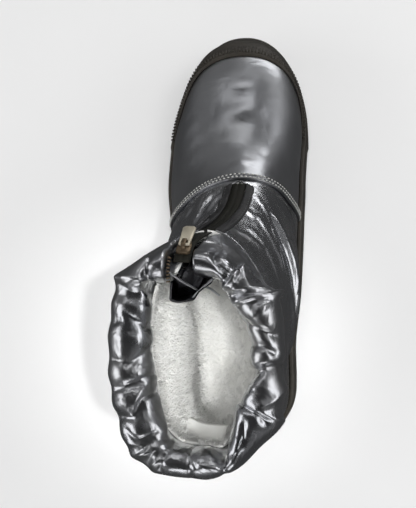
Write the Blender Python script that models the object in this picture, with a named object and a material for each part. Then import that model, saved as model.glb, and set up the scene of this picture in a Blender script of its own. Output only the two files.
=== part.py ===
"""Winter ankle boot for the left foot: a moulded cup sole with a toe guard, a hollow padded upper with a
zip in front, a raised seam over the instep, a gathered cuff, a folded gusset and an insole.

Metres, +Z up, +X to the toe, +Y to the outer side. The sole's flats stand on z = 0 and the origin is
under the middle of the boot's box. Sizes are in millimetres, with x counted from the heel's back."""

import bisect
import math

import bmesh
import bpy
from mathutils import Vector

MM = 0.001
SIDES = {"outer": 1.0, "inner": -1.0}

# Sole
SOLE_LENGTH = 274.5
HEEL_REACH = 36.0
HEEL_POWER = 2.3
TOE_REACH = 75.0
TOE_POWER = 2.2
LIP_HEIGHT = 8.0
GUARD_START = 200.0
GUARD_STEP = 0.7
GROOVE_WIDTH = 4.6
GROOVE_DEPTH = 4.0
GROOVE_POINT = 9.0
GROOVES = (22.0, 38.0, 54.0, 70.0, 136.0, 152.0, 168.0, 184.0, 200.0, 216.0, 232.0, 247.0)
CHANNEL_WIDTH = 5.0
CHANNEL_DEPTH = 3.0
CHANNELS = ((14.0, 78.0), (131.0, 212.0))

# Upper
UPPER_INSET = 5.3
UPPER_WALL = 3.0
GAP = 0.3
DOME_ROOT = 2.0
SHAFT_POWERS = (2.35, 1.78)
SHAFT_BLEND = (60.0, 106.0)
RIM_Z = 142.0
LIP_LEVEL = 0.065

# Toe guard and seam
GUARD_GAP = 0.7
GUARD_OUT = 2.6
GUARD_TOP_Z = 27.4
GUARD_SLOPE = 0.53
GUARD_ENDS = 204.5
SEAM_HALF = 2.6
SEAM_OUT = 1.7
SEAM_GAP = 0.5
SEAM_FRONT_X = 166.0
SEAM_LOW_X = {"outer": 143.5, "inner": 148.0}
SEAM_BEND = {"outer": 1.25, "inner": 1.0}

# Cuff
DRAW_BACK = (13.6, 6.5)
DRAW_FRONT = (113.0, 14.0)
DRAW_HALF = {"outer": 31.8, "inner": 32.4}
DRAW_POWERS = (3.1, 2.2)
DRAW_THICKER = 0.16
CUFF_END = 7.0

# Zip
SLOT_HALF = 4.7
TAPE_HALF = 4.3
TAPE_DEPTH = 1.0
TAPE_THICK = 1.5
SLIDER_AT = 0.905
HINGE_OUT = 2.3
TAB_LENGTH = 15.5
TAB_THICK = 1.1
TAB_WIDE = 6.6
TAB_DIP_DEG = 3.0

# Insole
INSOLE_INSET = 9.0
INSOLE_THICK = 5.5


class Curve:
    """A smooth line through a table's rows that doesn't swing past them."""

    def __init__(self, at, values):
        self.at = list(at)
        self.values = list(values)
        steps = [b - a for a, b in zip(self.at, self.at[1:])]
        rises = [(b - a) / step for a, b, step in zip(self.values, self.values[1:], steps)]
        slopes = [rises[0]]
        for left, right in zip(rises, rises[1:]):
            same = left * right > 0
            slopes.append(2 * left * right / (left + right) if same else 0.0)
        self.slopes = slopes + [rises[-1]]

    def __call__(self, place):
        place = min(max(place, self.at[0]), self.at[-1])
        row = min(max(bisect.bisect_right(self.at, place) - 1, 0), len(self.at) - 2)
        step = self.at[row + 1] - self.at[row]
        t = (place - self.at[row]) / step
        value = (1 + 2 * t) * (1 - t) ** 2 * self.values[row]
        value += t * (1 - t) ** 2 * step * self.slopes[row]
        value += t * t * (3 - 2 * t) * self.values[row + 1]
        return value - t * t * (1 - t) * step * self.slopes[row + 1]


def curves(columns, rows):
    """A curve for each column after the first, along the first."""
    lists = list(zip(*rows))
    return {name: Curve(lists[0], values) for name, values in zip(columns[1:], lists[1:])}


def along(columns, rows):
    """The same rows as curves along their own length, from 0 to 1, in the x-z plane."""
    x, z = columns.index("x"), columns.index("z")
    length = [0.0]
    for a, b in zip(rows, rows[1:]):
        length.append(length[-1] + math.hypot(b[x] - a[x], b[z] - a[z]))
    shares = [value / length[-1] for value in length]
    return {name: Curve(shares, values) for name, values in zip(columns, zip(*rows))}


# Middle and half breadth of the sole, before its ends are rounded.
OUTLINE = curves(
    ("x", "middle", "half"),
    [
        (0, 0.0, 37.8),
        (40, 0.2, 38.0),
        (62, 1.2, 38.6),
        (95, 1.7, 42.6),
        (130, 3.4, 46.2),
        (151, 4.0, 47.6),
        (172, 4.4, 48.9),
        (198, 2.9, 48.7),
        (208, 2.0, 48.0),
        (222, 0.2, 46.6),
        (238, -1.2, 45.4),
        (253, -1.8, 44.6),
        (SOLE_LENGTH, -2.2, 44.2),
    ],
)

# Underside with heel bevel, arch and toe spring, and the cup's floor.
SOLE = curves(
    ("x", "ground", "bed"),
    [
        (0, 2.5, 25.0),
        (12, 0.0, 25.0),
        (80, 0.0, 24.6),
        (104, 3.5, 22.8),
        (128, 0.0, 21.0),
        (205, 0.0, 18.6),
        (243, 4.0, 22.0),
        (SOLE_LENGTH, 11.0, 28.3),
    ],
)

# Side of the sole from the tread up: how far in from the outline, and how far above ground or bed.
SOLE_SIDE = [
    ("tread edge", 2.2, "ground", 0.0),
    ("tread bevel", 0.7, "ground", 1.5),
    ("side low", 0.0, "ground", 6.0),
    ("side high", 0.0, "ground", 12.5),
    ("groove low", 1.5, "ground", 13.3),
    ("groove high", 1.5, "ground", 14.9),
    ("wall low", 0.3, "ground", 15.8),
    ("wall high", 0.9, "bed", 6.4),
    ("lip", 2.4, "bed", LIP_HEIGHT),
    ("lip inside", UPPER_INSET - GAP, "bed", 7.3),
    ("cup floor", UPPER_INSET - GAP, "bed", 0.0),
]

# Middle of the upper's front, from the cup over toe and instep to the cuff's seam.
FRONT_COLUMNS = ("x", "z", "y")
FRONT_ROWS = [
    (SOLE_LENGTH - UPPER_INSET, 27.6, -2.2),
    (SOLE_LENGTH - UPPER_INSET - 0.05, 36.8, -2.2),
    (266.9, 42.5, -2.2),
    (262.4, 49.0, -2.2),
    (254.6, 54.5, -2.3),
    (242.0, 59.5, -2.6),
    (225.0, 64.7, -3.2),
    (206.0, 71.2, -4.2),
    (186.0, 80.2, -5.2),
    (166.0, 93.5, -6.0),
    (149.0, 109.0, -4.0),
    (137.0, 125.0, 1.5),
    (130.0, RIM_Z, 6.5),
]
FRONT = along(FRONT_COLUMNS, FRONT_ROWS)
FRONT_STEPS = 2000
FRONT_LINE = []
for row in range(FRONT_STEPS, -1, -1):
    FRONT_LINE.append(tuple(FRONT[name](row / FRONT_STEPS) for name in FRONT_COLUMNS))
FRONT_X = [row[0] for row in FRONT_LINE]


def ridge(x):
    """Height and middle of the front line over a place along the foot."""
    row = min(max(bisect.bisect_right(FRONT_X, x) - 1, 0), FRONT_STEPS - 1)
    low, high = FRONT_LINE[row], FRONT_LINE[row + 1]
    t = min(max((x - low[0]) / max(high[0] - low[0], 1e-9), 0.0), 1.0)
    return low[1] + (high[1] - low[1]) * t, low[2] + (high[2] - low[2]) * t


# Shape of the foot's sections: how round the dome is, and where between bed and ridge it is widest.
DOME = curves(
    ("x", "power", "widest"),
    [
        (130, 2.0, 0.14),
        (150, 1.3, 0.17),
        (166, 1.2, 0.18),
        (190, 1.6, 0.21),
        (215, 2.3, 0.25),
        (245, 3.2, 0.3),
    ],
)

# Back and breadth of the shaft by height.
SHAFT = curves(
    ("z", "back_x", "back_y", "outer", "inner"),
    [
        (25, UPPER_INSET, 0.0, 36.0, 35.0),
        (34, UPPER_INSET, 0.0, 36.0, 35.0),
        (48, 4.4, 0.0, 36.0, 35.0),
        (72, 5.5, 0.4, 36.0, 35.0),
        (98, 8.5, 1.6, 36.5, 35.0),
        (122, 10.0, 3.0, 38.0, 35.5),
        (RIM_Z, 9.5, 4.0, 39.5, 36.5),
    ],
)

# How far in from the sole's outline the upper's side is, by height over the cup's floor.
SWELL = curves(
    ("over", "inset"),
    [(0, UPPER_INSET), (8.8, UPPER_INSET), (18, 4.6), (32, 4.8), (60, 5.6)],
)

# The padded inner side stands out over the sole's edge between ball and heel: how far, and from where to where.
INNER_PUFF = 4.2
PUFF_X = (50.0, 82.0, 108.0, 150.0)
PUFF_Z = (36.0, 60.0, 86.0, 128.0)

# Levels of the upper: height at the back and share of the front line.
LEVELS = curves(
    ("level", "back_z", "front"),
    [(0.0, 25.3, 0.0), (LIP_LEVEL, 34.0, 0.042), (1.0, RIM_Z, 1.0)],
)

# Cuff's section: share of the way from the upper's rim to the drawstring, mm outwards, height.
CUFF_SECTION = [
    ("seam outside", 0.0, 1.5, RIM_Z + GAP),
    ("swell low", 0.25, 4.4, 150.0),
    ("swell", 0.6, 8.2, 158.5),
    ("roll outside", 1.0, 9.7, 168.0),
    ("roll shoulder", 1.0, 7.2, 177.5),
    ("roll top", 1.0, 0.5, 183.0),
    ("roll inside top", 1.0, -6.0, 180.0),
    ("roll inside", 1.0, -9.0, 171.0),
    ("facing", 0.8, -7.8, 160.0),
    ("facing low", 0.4, -4.5, 150.0),
    ("seam inside", 0.0, -1.5, RIM_Z + GAP),
]

# Gathers of the cuff, in degrees from the zip by way of the outer side, with mm of depth and width.
GATHERS = [
    (16, 2.0, 7.0),
    (38, 3.0, 8.0),
    (60, 2.0, 7.0),
    (84, 2.6, 8.0),
    (106, 2.2, 8.0),
    (130, 2.0, 8.0),
    (154, 2.2, 8.0),
    (180, 1.6, 6.0),
    (206, 2.2, 8.0),
    (228, 2.6, 8.0),
    (250, 3.2, 9.0),
    (274, 2.4, 8.0),
    (298, 3.4, 9.0),
    (322, 2.6, 8.0),
    (344, 2.0, 7.0),
]

# Middle of the zip, up the front and over the cuff.
ZIP = along(
    ("x", "z", "y"),
    [
        (162.4, 96.4, -5.8),
        (149.0, 109.0, -4.0),
        (137.0, 125.0, 1.5),
        (130.0, RIM_Z, 6.5),
        (126.0, 154.0, 10.4),
        (120.0, 166.0, 13.4),
        (111.0, 175.5, 14.2),
    ],
)

# Front of the gusset behind the zip, with how far its folds open.
GUSSET = along(
    ("x", "z", "y", "open"),
    [
        (133.5, 118.0, 0.0, 0.25),
        (122.0, 136.0, 5.0, 0.45),
        (113.5, 150.0, 9.0, 0.7),
        (105.0, 161.0, 11.0, 0.9),
        (100.5, 173.0, 12.0, 1.0),
    ],
)
GUSSET_THICK = 1.2
# Folds of the gusset: mm across and mm inwards when open.
FOLDS = [(6.6, 1.5), (8.6, 9.0), (6.4, 9.6), (1.5, 3.6), (-3.0, 10.6), (-5.2, 10.2), (-7.0, 1.5)]

AROUND = 36
UPPER_RINGS = 18
CUFF_STEPS = 40


def rounded(away, reach, power):
    """Share of the full breadth at a distance from a rounded end."""
    short = min(max(1.0 - away / reach, 0.0), 1.0)
    return (1.0 - short**power) ** (1.0 / power)


def smoothstep(low, high, value):
    t = min(max((value - low) / (high - low), 0.0), 1.0)
    return t * t * (3 - 2 * t)


def turns():
    """Steps along one side from heel to toe, with a close pair at the toe guard's step."""
    pair = []
    for place in (GUARD_START - 0.6, GUARD_START + 0.6):
        pair.append(math.acos(1 - 2 * place / SOLE_LENGTH) / math.pi)
    steps = [row / AROUND for row in range(AROUND + 1)]
    return sorted([t for t in steps if abs(t - pair[0]) > 0.5 / AROUND] + pair)


TURNS = turns()
LAST = len(TURNS) - 1


def loop():
    """Side and step of each point once round the boot, from the heel by the outer side."""
    return [("outer", t) for t in TURNS] + [("inner", t) for t in reversed(TURNS[1:-1])]


def share(t):
    return (1 - math.cos(math.pi * t)) / 2


def sole_breadth(x, inset):
    heel = rounded(x - inset, HEEL_REACH - inset, HEEL_POWER)
    toe = rounded(SOLE_LENGTH - inset - x, TOE_REACH - inset, TOE_POWER)
    return (OUTLINE["half"](x) - inset) * heel * toe


def sole_ring(inset, base, over, step):
    ring = []
    for side, t in loop():
        behind = SOLE_LENGTH * share(t) < GUARD_START
        at = inset + (step if behind else 0.0)
        x = at + (SOLE_LENGTH - 2 * at) * share(t)
        y = OUTLINE["middle"](x) + SIDES[side] * sole_breadth(x, at)
        ring.append(Vector((x, y, SOLE[base](x) + over)))
    return ring


WIDEST = sole_ring(0.0, "bed", 0.0, GUARD_STEP)
CENTRE = Vector()
for axis in (0, 1):
    reach = [point[axis] for point in WIDEST]
    CENTRE[axis] = (min(reach) + max(reach)) / 2


def ring_ends(level):
    """Front and back of one ring of the upper."""
    at = LEVELS["front"](level)
    front = Vector((FRONT["x"](at), FRONT["y"](at), FRONT["z"](at)))
    back_z = LEVELS["back_z"](level)
    return front, Vector((SHAFT["back_x"](back_z), SHAFT["back_y"](back_z), back_z))


def oval(way, powers):
    """Half breadth of an oval from back to front, with a squareness for each half."""
    power = powers[0] if way < 0.5 else powers[1]
    return (1.0 - abs(2 * way - 1) ** power) ** (1.0 / power) if 0 < way < 1 else 0.0


def puff(side, x, z):
    """How far the padding pushes the upper's side out."""
    if side == "outer":
        return 0.0
    lengthwise = smoothstep(PUFF_X[0], PUFF_X[1], x) - smoothstep(PUFF_X[2], PUFF_X[3], x)
    upward = smoothstep(PUFF_Z[0], PUFF_Z[1], z) - smoothstep(PUFF_Z[2], PUFF_Z[3], z)
    return INNER_PUFF * lengthwise * upward


def upper_point(side, t, level):
    """The upper's outer face: a dome over the foot that turns into the oval shaft."""
    front, back = ring_ends(level)
    way = share(t)
    x = back.x + (front.x - back.x) * way
    sag = SOLE["bed"](x) - (SOLE["bed"](back.x) + (SOLE["bed"](front.x) - SOLE["bed"](back.x)) * way)
    z = back.z + (front.z - back.z) * way + sag * (1 - level) ** 3
    bed = SOLE["bed"](x)
    top, top_y = ridge(x)
    top += max(0.0, FRONT_ROWS[-1][0] - x) * 4.0
    widest = bed + (min(top, 110.0) - bed) * DOME["widest"](x)
    rise = min(max((z - widest) / max(top - widest, 0.1), 0.0), 1.0)
    dome = (1.0 - rise ** DOME["power"](x)) ** (1.0 / DOME_ROOT)
    heel = rounded(x - back.x, HEEL_REACH - UPPER_INSET, HEEL_POWER)
    toe = rounded(SOLE_LENGTH - UPPER_INSET - x, TOE_REACH - UPPER_INSET, TOE_POWER)
    foot = (OUTLINE["half"](x) - SWELL["inset"](z - bed)) * heel * toe * dome
    foot_y = OUTLINE["middle"](x) + (top_y - OUTLINE["middle"](x)) * rise
    shaft = SHAFT[side](z) * oval(way, SHAFT_POWERS)
    shaft_y = back.y + (front.y - back.y) * way
    turned = smoothstep(*SHAFT_BLEND, z)
    half = 0.0 if t in (0.0, 1.0) else foot + (shaft - foot) * turned + puff(side, x, z)
    return Vector((x, foot_y + (shaft_y - foot_y) * turned + SIDES[side] * half, z))


def upper_normal(side, t, level):
    """Outward direction of the upper's outer face."""
    small = 0.002
    before = upper_point(side, max(t - small, 1e-5), level)
    after = upper_point(side, min(t + small, 1 - 1e-5), level)
    below = upper_point(side, t, max(level - small, 0.0))
    above = upper_point(side, t, min(level + small, 1.0))
    normal = (after - before).cross(above - below) * -SIDES[side]
    if level == 0.0:
        normal.z = 0.0
    return normal.normalized()


def level_where(side, t, reached):
    """The level at which a point of the upper first passes a test."""
    low, high = 0.0, 1.0
    for _ in range(30):
        middle = (low + high) / 2
        if reached(upper_point(side, t, middle)):
            high = middle
        else:
            low = middle
    return high


def link(obj, material):
    bpy.context.scene.collection.objects.link(obj)
    obj.data.materials.append(material)
    return obj


def solid(name, points, faces, material):
    mesh = bpy.data.meshes.new(name)
    mesh.from_pydata([(point - CENTRE) * MM for point in points], [], faces)
    shape = bmesh.new()
    shape.from_mesh(mesh)
    bmesh.ops.recalc_face_normals(shape, faces=shape.faces)
    shape.to_mesh(mesh)
    shape.free()
    return link(bpy.data.objects.new(name, mesh), material)


def material(name, colour, roughness, metallic):
    made = bpy.data.materials.new(name)
    made.use_nodes = True
    shader = made.node_tree.nodes["Principled BSDF"]
    shader.inputs["Base Color"].default_value = (*colour, 1.0)
    shader.inputs["Roughness"].default_value = roughness
    shader.inputs["Metallic"].default_value = metallic
    return made


def walls(rings, closed_rings):
    """Faces between rings of one length, each closed or open, in order."""
    count = len(rings[0])
    faces = []
    for row in range(len(rings) - 1):
        for column in range(count if closed_rings else count - 1):
            after = (column + 1) % count
            a, b = row * count, (row + 1) * count
            faces.append((a + column, a + after, b + after, b + column))
    return faces


def cap(first):
    """Strips across a ring that runs round the boot, from the outer to the inner side."""
    count = 2 * LAST
    faces = [(first, first + 1, first + count - 1), (first + LAST - 1, first + LAST, first + LAST + 1)]
    for row in range(1, LAST - 1):
        faces.append((first + row, first + row + 1, first + count - row - 1, first + count - row))
    return faces


def tube(sections):
    """Points and faces of a closed section carried along, with both ends closed."""
    points = [point for section in sections for point in section]
    count = len(sections[0])
    faces = walls(sections, True)
    faces.append(tuple(range(count)))
    faces.append(tuple(range(len(points) - count, len(points))))
    return points, faces


def cut(target, cutter, name):
    cutter.hide_render = True
    cutter.display_type = "WIRE"
    modifier = target.modifiers.new(name, "BOOLEAN")
    modifier.operation = "DIFFERENCE"
    modifier.solver = "EXACT"
    modifier.object = cutter


def add(target, other, name):
    other.hide_render = True
    other.display_type = "WIRE"
    modifier = target.modifiers.new(name, "BOOLEAN")
    modifier.operation = "UNION"
    modifier.solver = "EXACT"
    modifier.object = other


def make_sole(rubber):
    rings = [sole_ring(inset, base, over, GUARD_STEP) for _, inset, base, over in SOLE_SIDE[:-2]]
    rings += [sole_ring(inset, base, over, 0.0) for _, inset, base, over in SOLE_SIDE[-2:]]
    points = [point for ring in rings for point in ring]
    faces = walls(rings, True) + cap(0) + cap(len(points) - 2 * LAST)
    sole = solid("sole", points, faces, rubber)
    points, faces = [], []
    for at in GROOVES:
        top = SOLE["ground"](at + GROOVE_POINT / 2) + GROOVE_DEPTH
        plan = [(at, -70.0), (at + GROOVE_POINT, 0.0), (at, 70.0)]
        back = [(x + GROOVE_WIDTH, y) for x, y in reversed(plan)]
        first = len(points)
        for z in (-3.0, top):
            points += [Vector((x, y, z)) for x, y in plan + back]
        faces += [(first, first + 1, first + 4, first + 5), (first + 1, first + 2, first + 3, first + 4)]
        faces += [(first + 6, first + 7, first + 10, first + 11), (first + 7, first + 8, first + 9, first + 10)]
        for row in range(6):
            after = (row + 1) % 6
            faces.append((first + row, first + after, first + 6 + after, first + 6 + row))
    cut(sole, solid("groove_cutter", points, faces, rubber), "tread grooves")
    points, faces = [], []
    for start, end in CHANNELS:
        half = CHANNEL_WIDTH / 2
        plan = [(start, -half), (end, -half), (end, half), (start, half)]
        made = tube([[Vector((x, y, z)) for x, y in plan] for z in (-3.0, CHANNEL_DEPTH)])
        faces += [tuple(len(points) + corner for corner in face) for face in made[1]]
        points += made[0]
    cut(sole, solid("channel_cutter", points, faces, rubber), "tread channels")


def make_insole(fur):
    sides = ((INSOLE_INSET, 0.4), (INSOLE_INSET, INSOLE_THICK - 1.2), (INSOLE_INSET + 1.6, INSOLE_THICK))
    rings = [sole_ring(inset, "bed", over, 0.0) for inset, over in sides]
    points = [point for ring in rings for point in ring]
    solid("insole", points, walls(rings, True) + cap(0) + cap(len(points) - 2 * LAST), fur)


def zip_frame(path, at):
    """Place on a path with the directions up it, across it and out of the boot."""
    small = 0.004

    def place(share_at):
        return Vector((path["x"](share_at), path["y"](share_at), path["z"](share_at)))

    up = (place(min(at + small, 1.0)) - place(max(at - small, 0.0))).normalized()
    across = Vector((0.0, 1.0, 0.0))
    across = (across - up * across.dot(up)).normalized()
    return place(at), up, across, across.cross(up)


def strip(path, shares, half, low, high, extend=0.0):
    """Sections of a flat bar along a path, from low to high out of the boot's front."""
    sections = []
    for at in shares:
        centre, up, across, out = zip_frame(path, at)
        if at == shares[-1]:
            centre = centre + up * extend
        corners = ((-half, low), (half, low), (half, high), (-half, high))
        sections.append([centre + across * a + out * b for a, b in corners])
    return sections


def make_upper(nylon):
    rings = []
    for row in range(UPPER_RINGS + 1):
        level = 0.0 if row == 0 else LIP_LEVEL + (1 - LIP_LEVEL) * (row - 1) / (UPPER_RINGS - 1)
        rings.append([(side, t, level) for side, t in loop()])
    outside = [[upper_point(*place) for place in ring] for ring in rings]
    inside = []
    for ring, points in zip(rings, outside):
        inside.append([point - upper_normal(*place) * UPPER_WALL for place, point in zip(ring, points)])
    for point in inside[-1]:
        point.z = RIM_Z
    skins = outside + inside[::-1]
    points = [point for ring in skins for point in ring]
    faces = walls(skins + [skins[0]], True)
    faces = [tuple(corner % len(points) for corner in face) for face in faces]
    upper = solid("upper", points, faces, nylon)
    shares = [row / 16 for row in range(14)]
    slot = solid("slot_cutter", *tube(strip(ZIP, shares, SLOT_HALF, -12.0, 8.0)), nylon)
    cut(upper, slot, "zip slit")


def make_toe_guard(rubber):
    def start(side):
        front, back = ring_ends(LIP_LEVEL)
        return math.acos(1 - 2 * (GUARD_ENDS - back.x) / (front.x - back.x)) / math.pi

    columns = []
    for side in SIDES:
        first = start(side)
        steps = [first + (1 - first) * row / 14 for row in range(15)]
        columns += [(side, t) for t in (steps if side == "outer" else steps[-2::-1])]
    rows = 6
    skins = {GUARD_GAP: [], GUARD_OUT: []}
    for side, t in columns:
        low = level_where(side, t, lambda point: point.z > SOLE["bed"](point.x) + LIP_HEIGHT + 0.5)
        high = level_where(
            side, t, lambda point: point.z > GUARD_TOP_Z + GUARD_SLOPE * (point.x - GUARD_START)
        )
        for out, lines in skins.items():
            line = []
            for row in range(rows):
                level = low + (high - low) * row / (rows - 1)
                thin = 0.55 if out == GUARD_OUT and row == rows - 1 else 1.0
                point = upper_point(side, t, level)
                line.append(point + upper_normal(side, t, level) * out * thin)
            lines.append(line)
    sections = [near + far[::-1] for near, far in zip(skins[GUARD_GAP], skins[GUARD_OUT])]
    solid("toe_guard", *tube(sections), rubber)


def make_vamp_seam(nylon):
    top_level = level_at_front(SEAM_FRONT_X)
    places = []
    for side in SIDES:
        line = []
        for row in range(22):
            way = row / 21
            level = top_level - (top_level - LIP_LEVEL - 0.012) * (1 - way) ** 2
            climb = ((level - LIP_LEVEL) / (top_level - LIP_LEVEL)) ** SEAM_BEND[side]
            x = SEAM_LOW_X[side] + (SEAM_FRONT_X - SEAM_LOW_X[side]) * climb
            front, back = ring_ends(level)
            cosine = min(max(1 - 2 * (x - back.x) / (front.x - back.x), -1.0), 1.0)
            line.append((side, math.acos(cosine) / math.pi, level))
        places += line if side == "outer" else line[-2::-1]
    centres = [upper_point(*place) for place in places]
    normals = [upper_normal(*place) for place in places]
    edge, low = SEAM_HALF - 0.5, SEAM_OUT - 0.3
    shape = ((-SEAM_HALF, SEAM_GAP), (SEAM_HALF, SEAM_GAP), (edge, low), (0.0, SEAM_OUT), (-edge, low))
    sections = []
    for row, (centre, normal) in enumerate(zip(centres, normals)):
        ahead = centres[min(row + 1, len(centres) - 1)] - centres[max(row - 1, 0)]
        across = normal.cross(ahead).normalized()
        sections.append([centre + across * a + normal * b for a, b in shape])
    solid("vamp_seam", *tube(sections), nylon)


def level_at_front(x):
    low, high = 0.0, 1.0
    for _ in range(40):
        middle = (low + high) / 2
        if ring_ends(middle)[0].x < x:
            high = middle
        else:
            low = middle
    return high


def draw_point(side, t):
    way = share(t)
    x = DRAW_BACK[0] + (DRAW_FRONT[0] - DRAW_BACK[0]) * way
    middle = DRAW_BACK[1] + (DRAW_FRONT[1] - DRAW_BACK[1]) * way
    return Vector((x, middle + SIDES[side] * DRAW_HALF[side] * oval(way, DRAW_POWERS), 0.0))


def cuff_turn(side, t):
    """Degrees round the cuff from the zip by way of the outer side."""
    return 180 * (1 - t) if side == "outer" else 180 + 180 * t


def gather(turn, length):
    """How deep the cuff is drawn in here, and where it swells between two gathers."""
    depth = 0.0
    for at, deep, wide in GATHERS:
        away = abs((turn - at + 180) % 360 - 180) / 360 * length
        depth += deep * math.exp(-((away / (wide / 2)) ** 2))
    return depth


def cuff_end(side, ring, middle):
    """The step at which a ring comes near to the zip."""
    t = 1.0
    while abs(ring(side, t).y - middle) < CUFF_END:
        t -= 0.001
    return t


def make_cuff(nylon):
    def rim_point(side, t):
        return upper_point(side, t, 1.0) - upper_normal(side, t, 1.0) * UPPER_WALL / 2

    places = []
    for side in SIDES:
        line = [(side, row / CUFF_STEPS) for row in range(CUFF_STEPS + 1)]
        places += line[::-1] if side == "outer" else line[1:]
    ends = {}
    for side in SIDES:
        ends[side] = (cuff_end(side, rim_point, FRONT_ROWS[-1][2]), cuff_end(side, draw_point, DRAW_FRONT[1]))
    forward = Vector((1.0, 0.0, 0.0))
    sections = []
    for side, way in places:
        small = 0.004
        rim = rim_point(side, way * ends[side][0])
        t = way * ends[side][1]
        draw = draw_point(side, t)
        ahead = draw_point(side, t + small) - draw_point(side, max(t - small, 0.0))
        out = Vector((ahead.y, -ahead.x, 0.0)).normalized() * -SIDES[side]
        if way == 0.0:
            out = -forward
        out = out.lerp(forward, smoothstep(0.86, 0.97, way)).normalized()
        turn = cuff_turn(side, t)
        drawn = gather(turn, 280.0)
        thicker = DRAW_THICKER * math.sin(math.radians(turn)) - DRAW_THICKER / 3
        section = []
        for _, toward, outward, z in CUFF_SECTION:
            centre = rim + (draw - rim) * toward
            pinch = (1.0 - drawn * toward / 10.0) * (1.0 + thicker * toward)
            point = centre + out * outward * pinch
            section.append(Vector((point.x, point.y, z - drawn * toward * 0.45)))
        sections.append(section)
    solid("cuff", *tube(sections), nylon)


def make_gusset(nylon):
    sections = []
    for at in [row / 8 for row in range(9)]:
        centre, _, across, _ = zip_frame(GUSSET, at)
        into = Vector((-1.0, 0.0, 0.0))
        line = [Vector((a, b * GUSSET["open"](at))) for a, b in FOLDS]
        sides = []
        for a, b in zip(line, line[1:]):
            sides.append(Vector((b.y - a.y, a.x - b.x)).normalized())
        far = []
        for row, point in enumerate(line):
            before, after = sides[max(row - 1, 0)], sides[min(row, len(sides) - 1)]
            middle = (before + after).normalized()
            far.append(point + middle * GUSSET_THICK / max(middle.dot(after), 0.55))
        flat = line + far[::-1]
        sections.append([centre + across * a + into * b for a, b in flat])
    count = len(sections[0])
    points = [point for section in sections for point in section]
    faces = walls(sections, True)
    for first in (0, len(points) - count):
        for row in range(len(FOLDS) - 1):
            faces.append((first + row, first + row + 1, first + count - row - 2, first + count - row - 1))
    solid("gusset", points, faces, nylon)


def make_zip(cloth, metal):
    shares = [row / 24 for row in range(25)]
    low = -TAPE_DEPTH - TAPE_THICK
    solid("zip_tape", *tube(strip(ZIP, shares, TAPE_HALF, low, -TAPE_DEPTH)), cloth)
    centre, up, across, out = zip_frame(ZIP, SLIDER_AT)

    def place(a, b, c):
        return centre + across * a + up * b + out * c

    def prism(profile, half):
        return tube([[place(a, b, c) for b, c in profile] for a in (-half, half)])

    plan = [(-2.6, -5.0), (2.6, -5.0), (3.6, -1.0), (3.6, 4.2), (2.4, 5.0), (-2.4, 5.0), (-3.6, 4.2), (-3.6, -1.0)]
    body = tube([[place(a, b, c) for a, b in plan] for c in (0.6 - TAPE_DEPTH, 1.4)])
    slider = solid("zip_slider", *body, metal)
    arch = [(-3.2, 1.0), (-3.2, 3.4), (-2.2, 4.4), (2.2, 4.4), (3.2, 3.4), (3.2, 1.0)]
    arch += [(2.0, 1.0), (2.0, 2.9), (1.6, 3.2), (-1.6, 3.2), (-2.0, 2.9), (-2.0, 1.0)]
    bridge = [[place(a, b, c) for b, c in arch] for a in (-1.1, 1.1)]
    points = bridge[0] + bridge[1]
    faces = walls(bridge, True)
    for first in (0, len(arch)):
        for row in range(5):
            faces.append((first + row, first + row + 1, first + 10 - row, first + 11 - row))
    add(slider, solid("bridge_helper", points, faces, metal), "bridge")

    dip = math.radians(TAB_DIP_DEG)
    hang = -up * math.cos(dip) - out * math.sin(dip)
    lift = out * math.cos(dip) - up * math.sin(dip)
    hinge = place(0.0, 0.0, HINGE_OUT)
    outline = [(-2.7, -0.55), (2.7, -0.55), (TAB_WIDE / 2, TAB_LENGTH - 1.2), (TAB_WIDE / 2 - 1.2, TAB_LENGTH)]
    outline += [(1.2 - TAB_WIDE / 2, TAB_LENGTH), (-TAB_WIDE / 2, TAB_LENGTH - 1.2)]
    window = [(-1.65, 0.55), (1.65, 0.55), (1.65, 3.9), (-1.65, 3.9)]
    points, faces = [], []
    for side_out in (-TAB_THICK / 2, TAB_THICK / 2):
        points += [hinge + across * a + hang * d + lift * side_out for a, d in outline + window]
    count = len(outline) + len(window)
    for first in (0, count):
        rim = [(0, 1, 7, 6), (1, 2, 8, 7), (2, 3, 4, 5), (2, 5, 9, 8), (5, 0, 6, 9)]
        faces += [tuple(first + corner for corner in face) for face in rim]
    for start, length in ((0, len(outline)), (len(outline), len(window))):
        for row in range(length):
            a, b = start + row, start + (row + 1) % length
            faces.append((a, b, count + b, count + a))
    solid("zip_pull_tab", points, faces, metal)


for old in list(bpy.data.objects):
    bpy.data.objects.remove(old)

RUBBER = material("black rubber", (0.012, 0.011, 0.010), 0.55, 0.0)
NYLON = material("metallic nylon", (0.12, 0.125, 0.13), 0.35, 0.6)
LINING = material("dark nylon", (0.03, 0.03, 0.032), 0.4, 0.2)
TAPE = material("zip tape", (0.012, 0.012, 0.013), 0.7, 0.0)
METAL = material("pewter metal", (0.45, 0.42, 0.37), 0.3, 1.0)
FUR = material("white fur", (0.75, 0.75, 0.73), 0.9, 0.0)

make_sole(RUBBER)
make_insole(FUR)
make_upper(NYLON)
make_toe_guard(RUBBER)
make_vamp_seam(NYLON)
make_cuff(NYLON)
make_gusset(LINING)
make_zip(TAPE, METAL)
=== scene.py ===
"""Looks of the winter ankle boot: padded metallic nylon on a cup sole, a gathered cuff and white pile.

Row frame: metres, +X to the toe, +Y to the outer side, +Z up. Sizes here are in millimetres with x counted
from the heel's back, as in the part's source, and `place` brings them into the row frame."""

import math

import bmesh
import bpy
import numpy as np
from mathutils import Matrix, Vector


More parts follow.
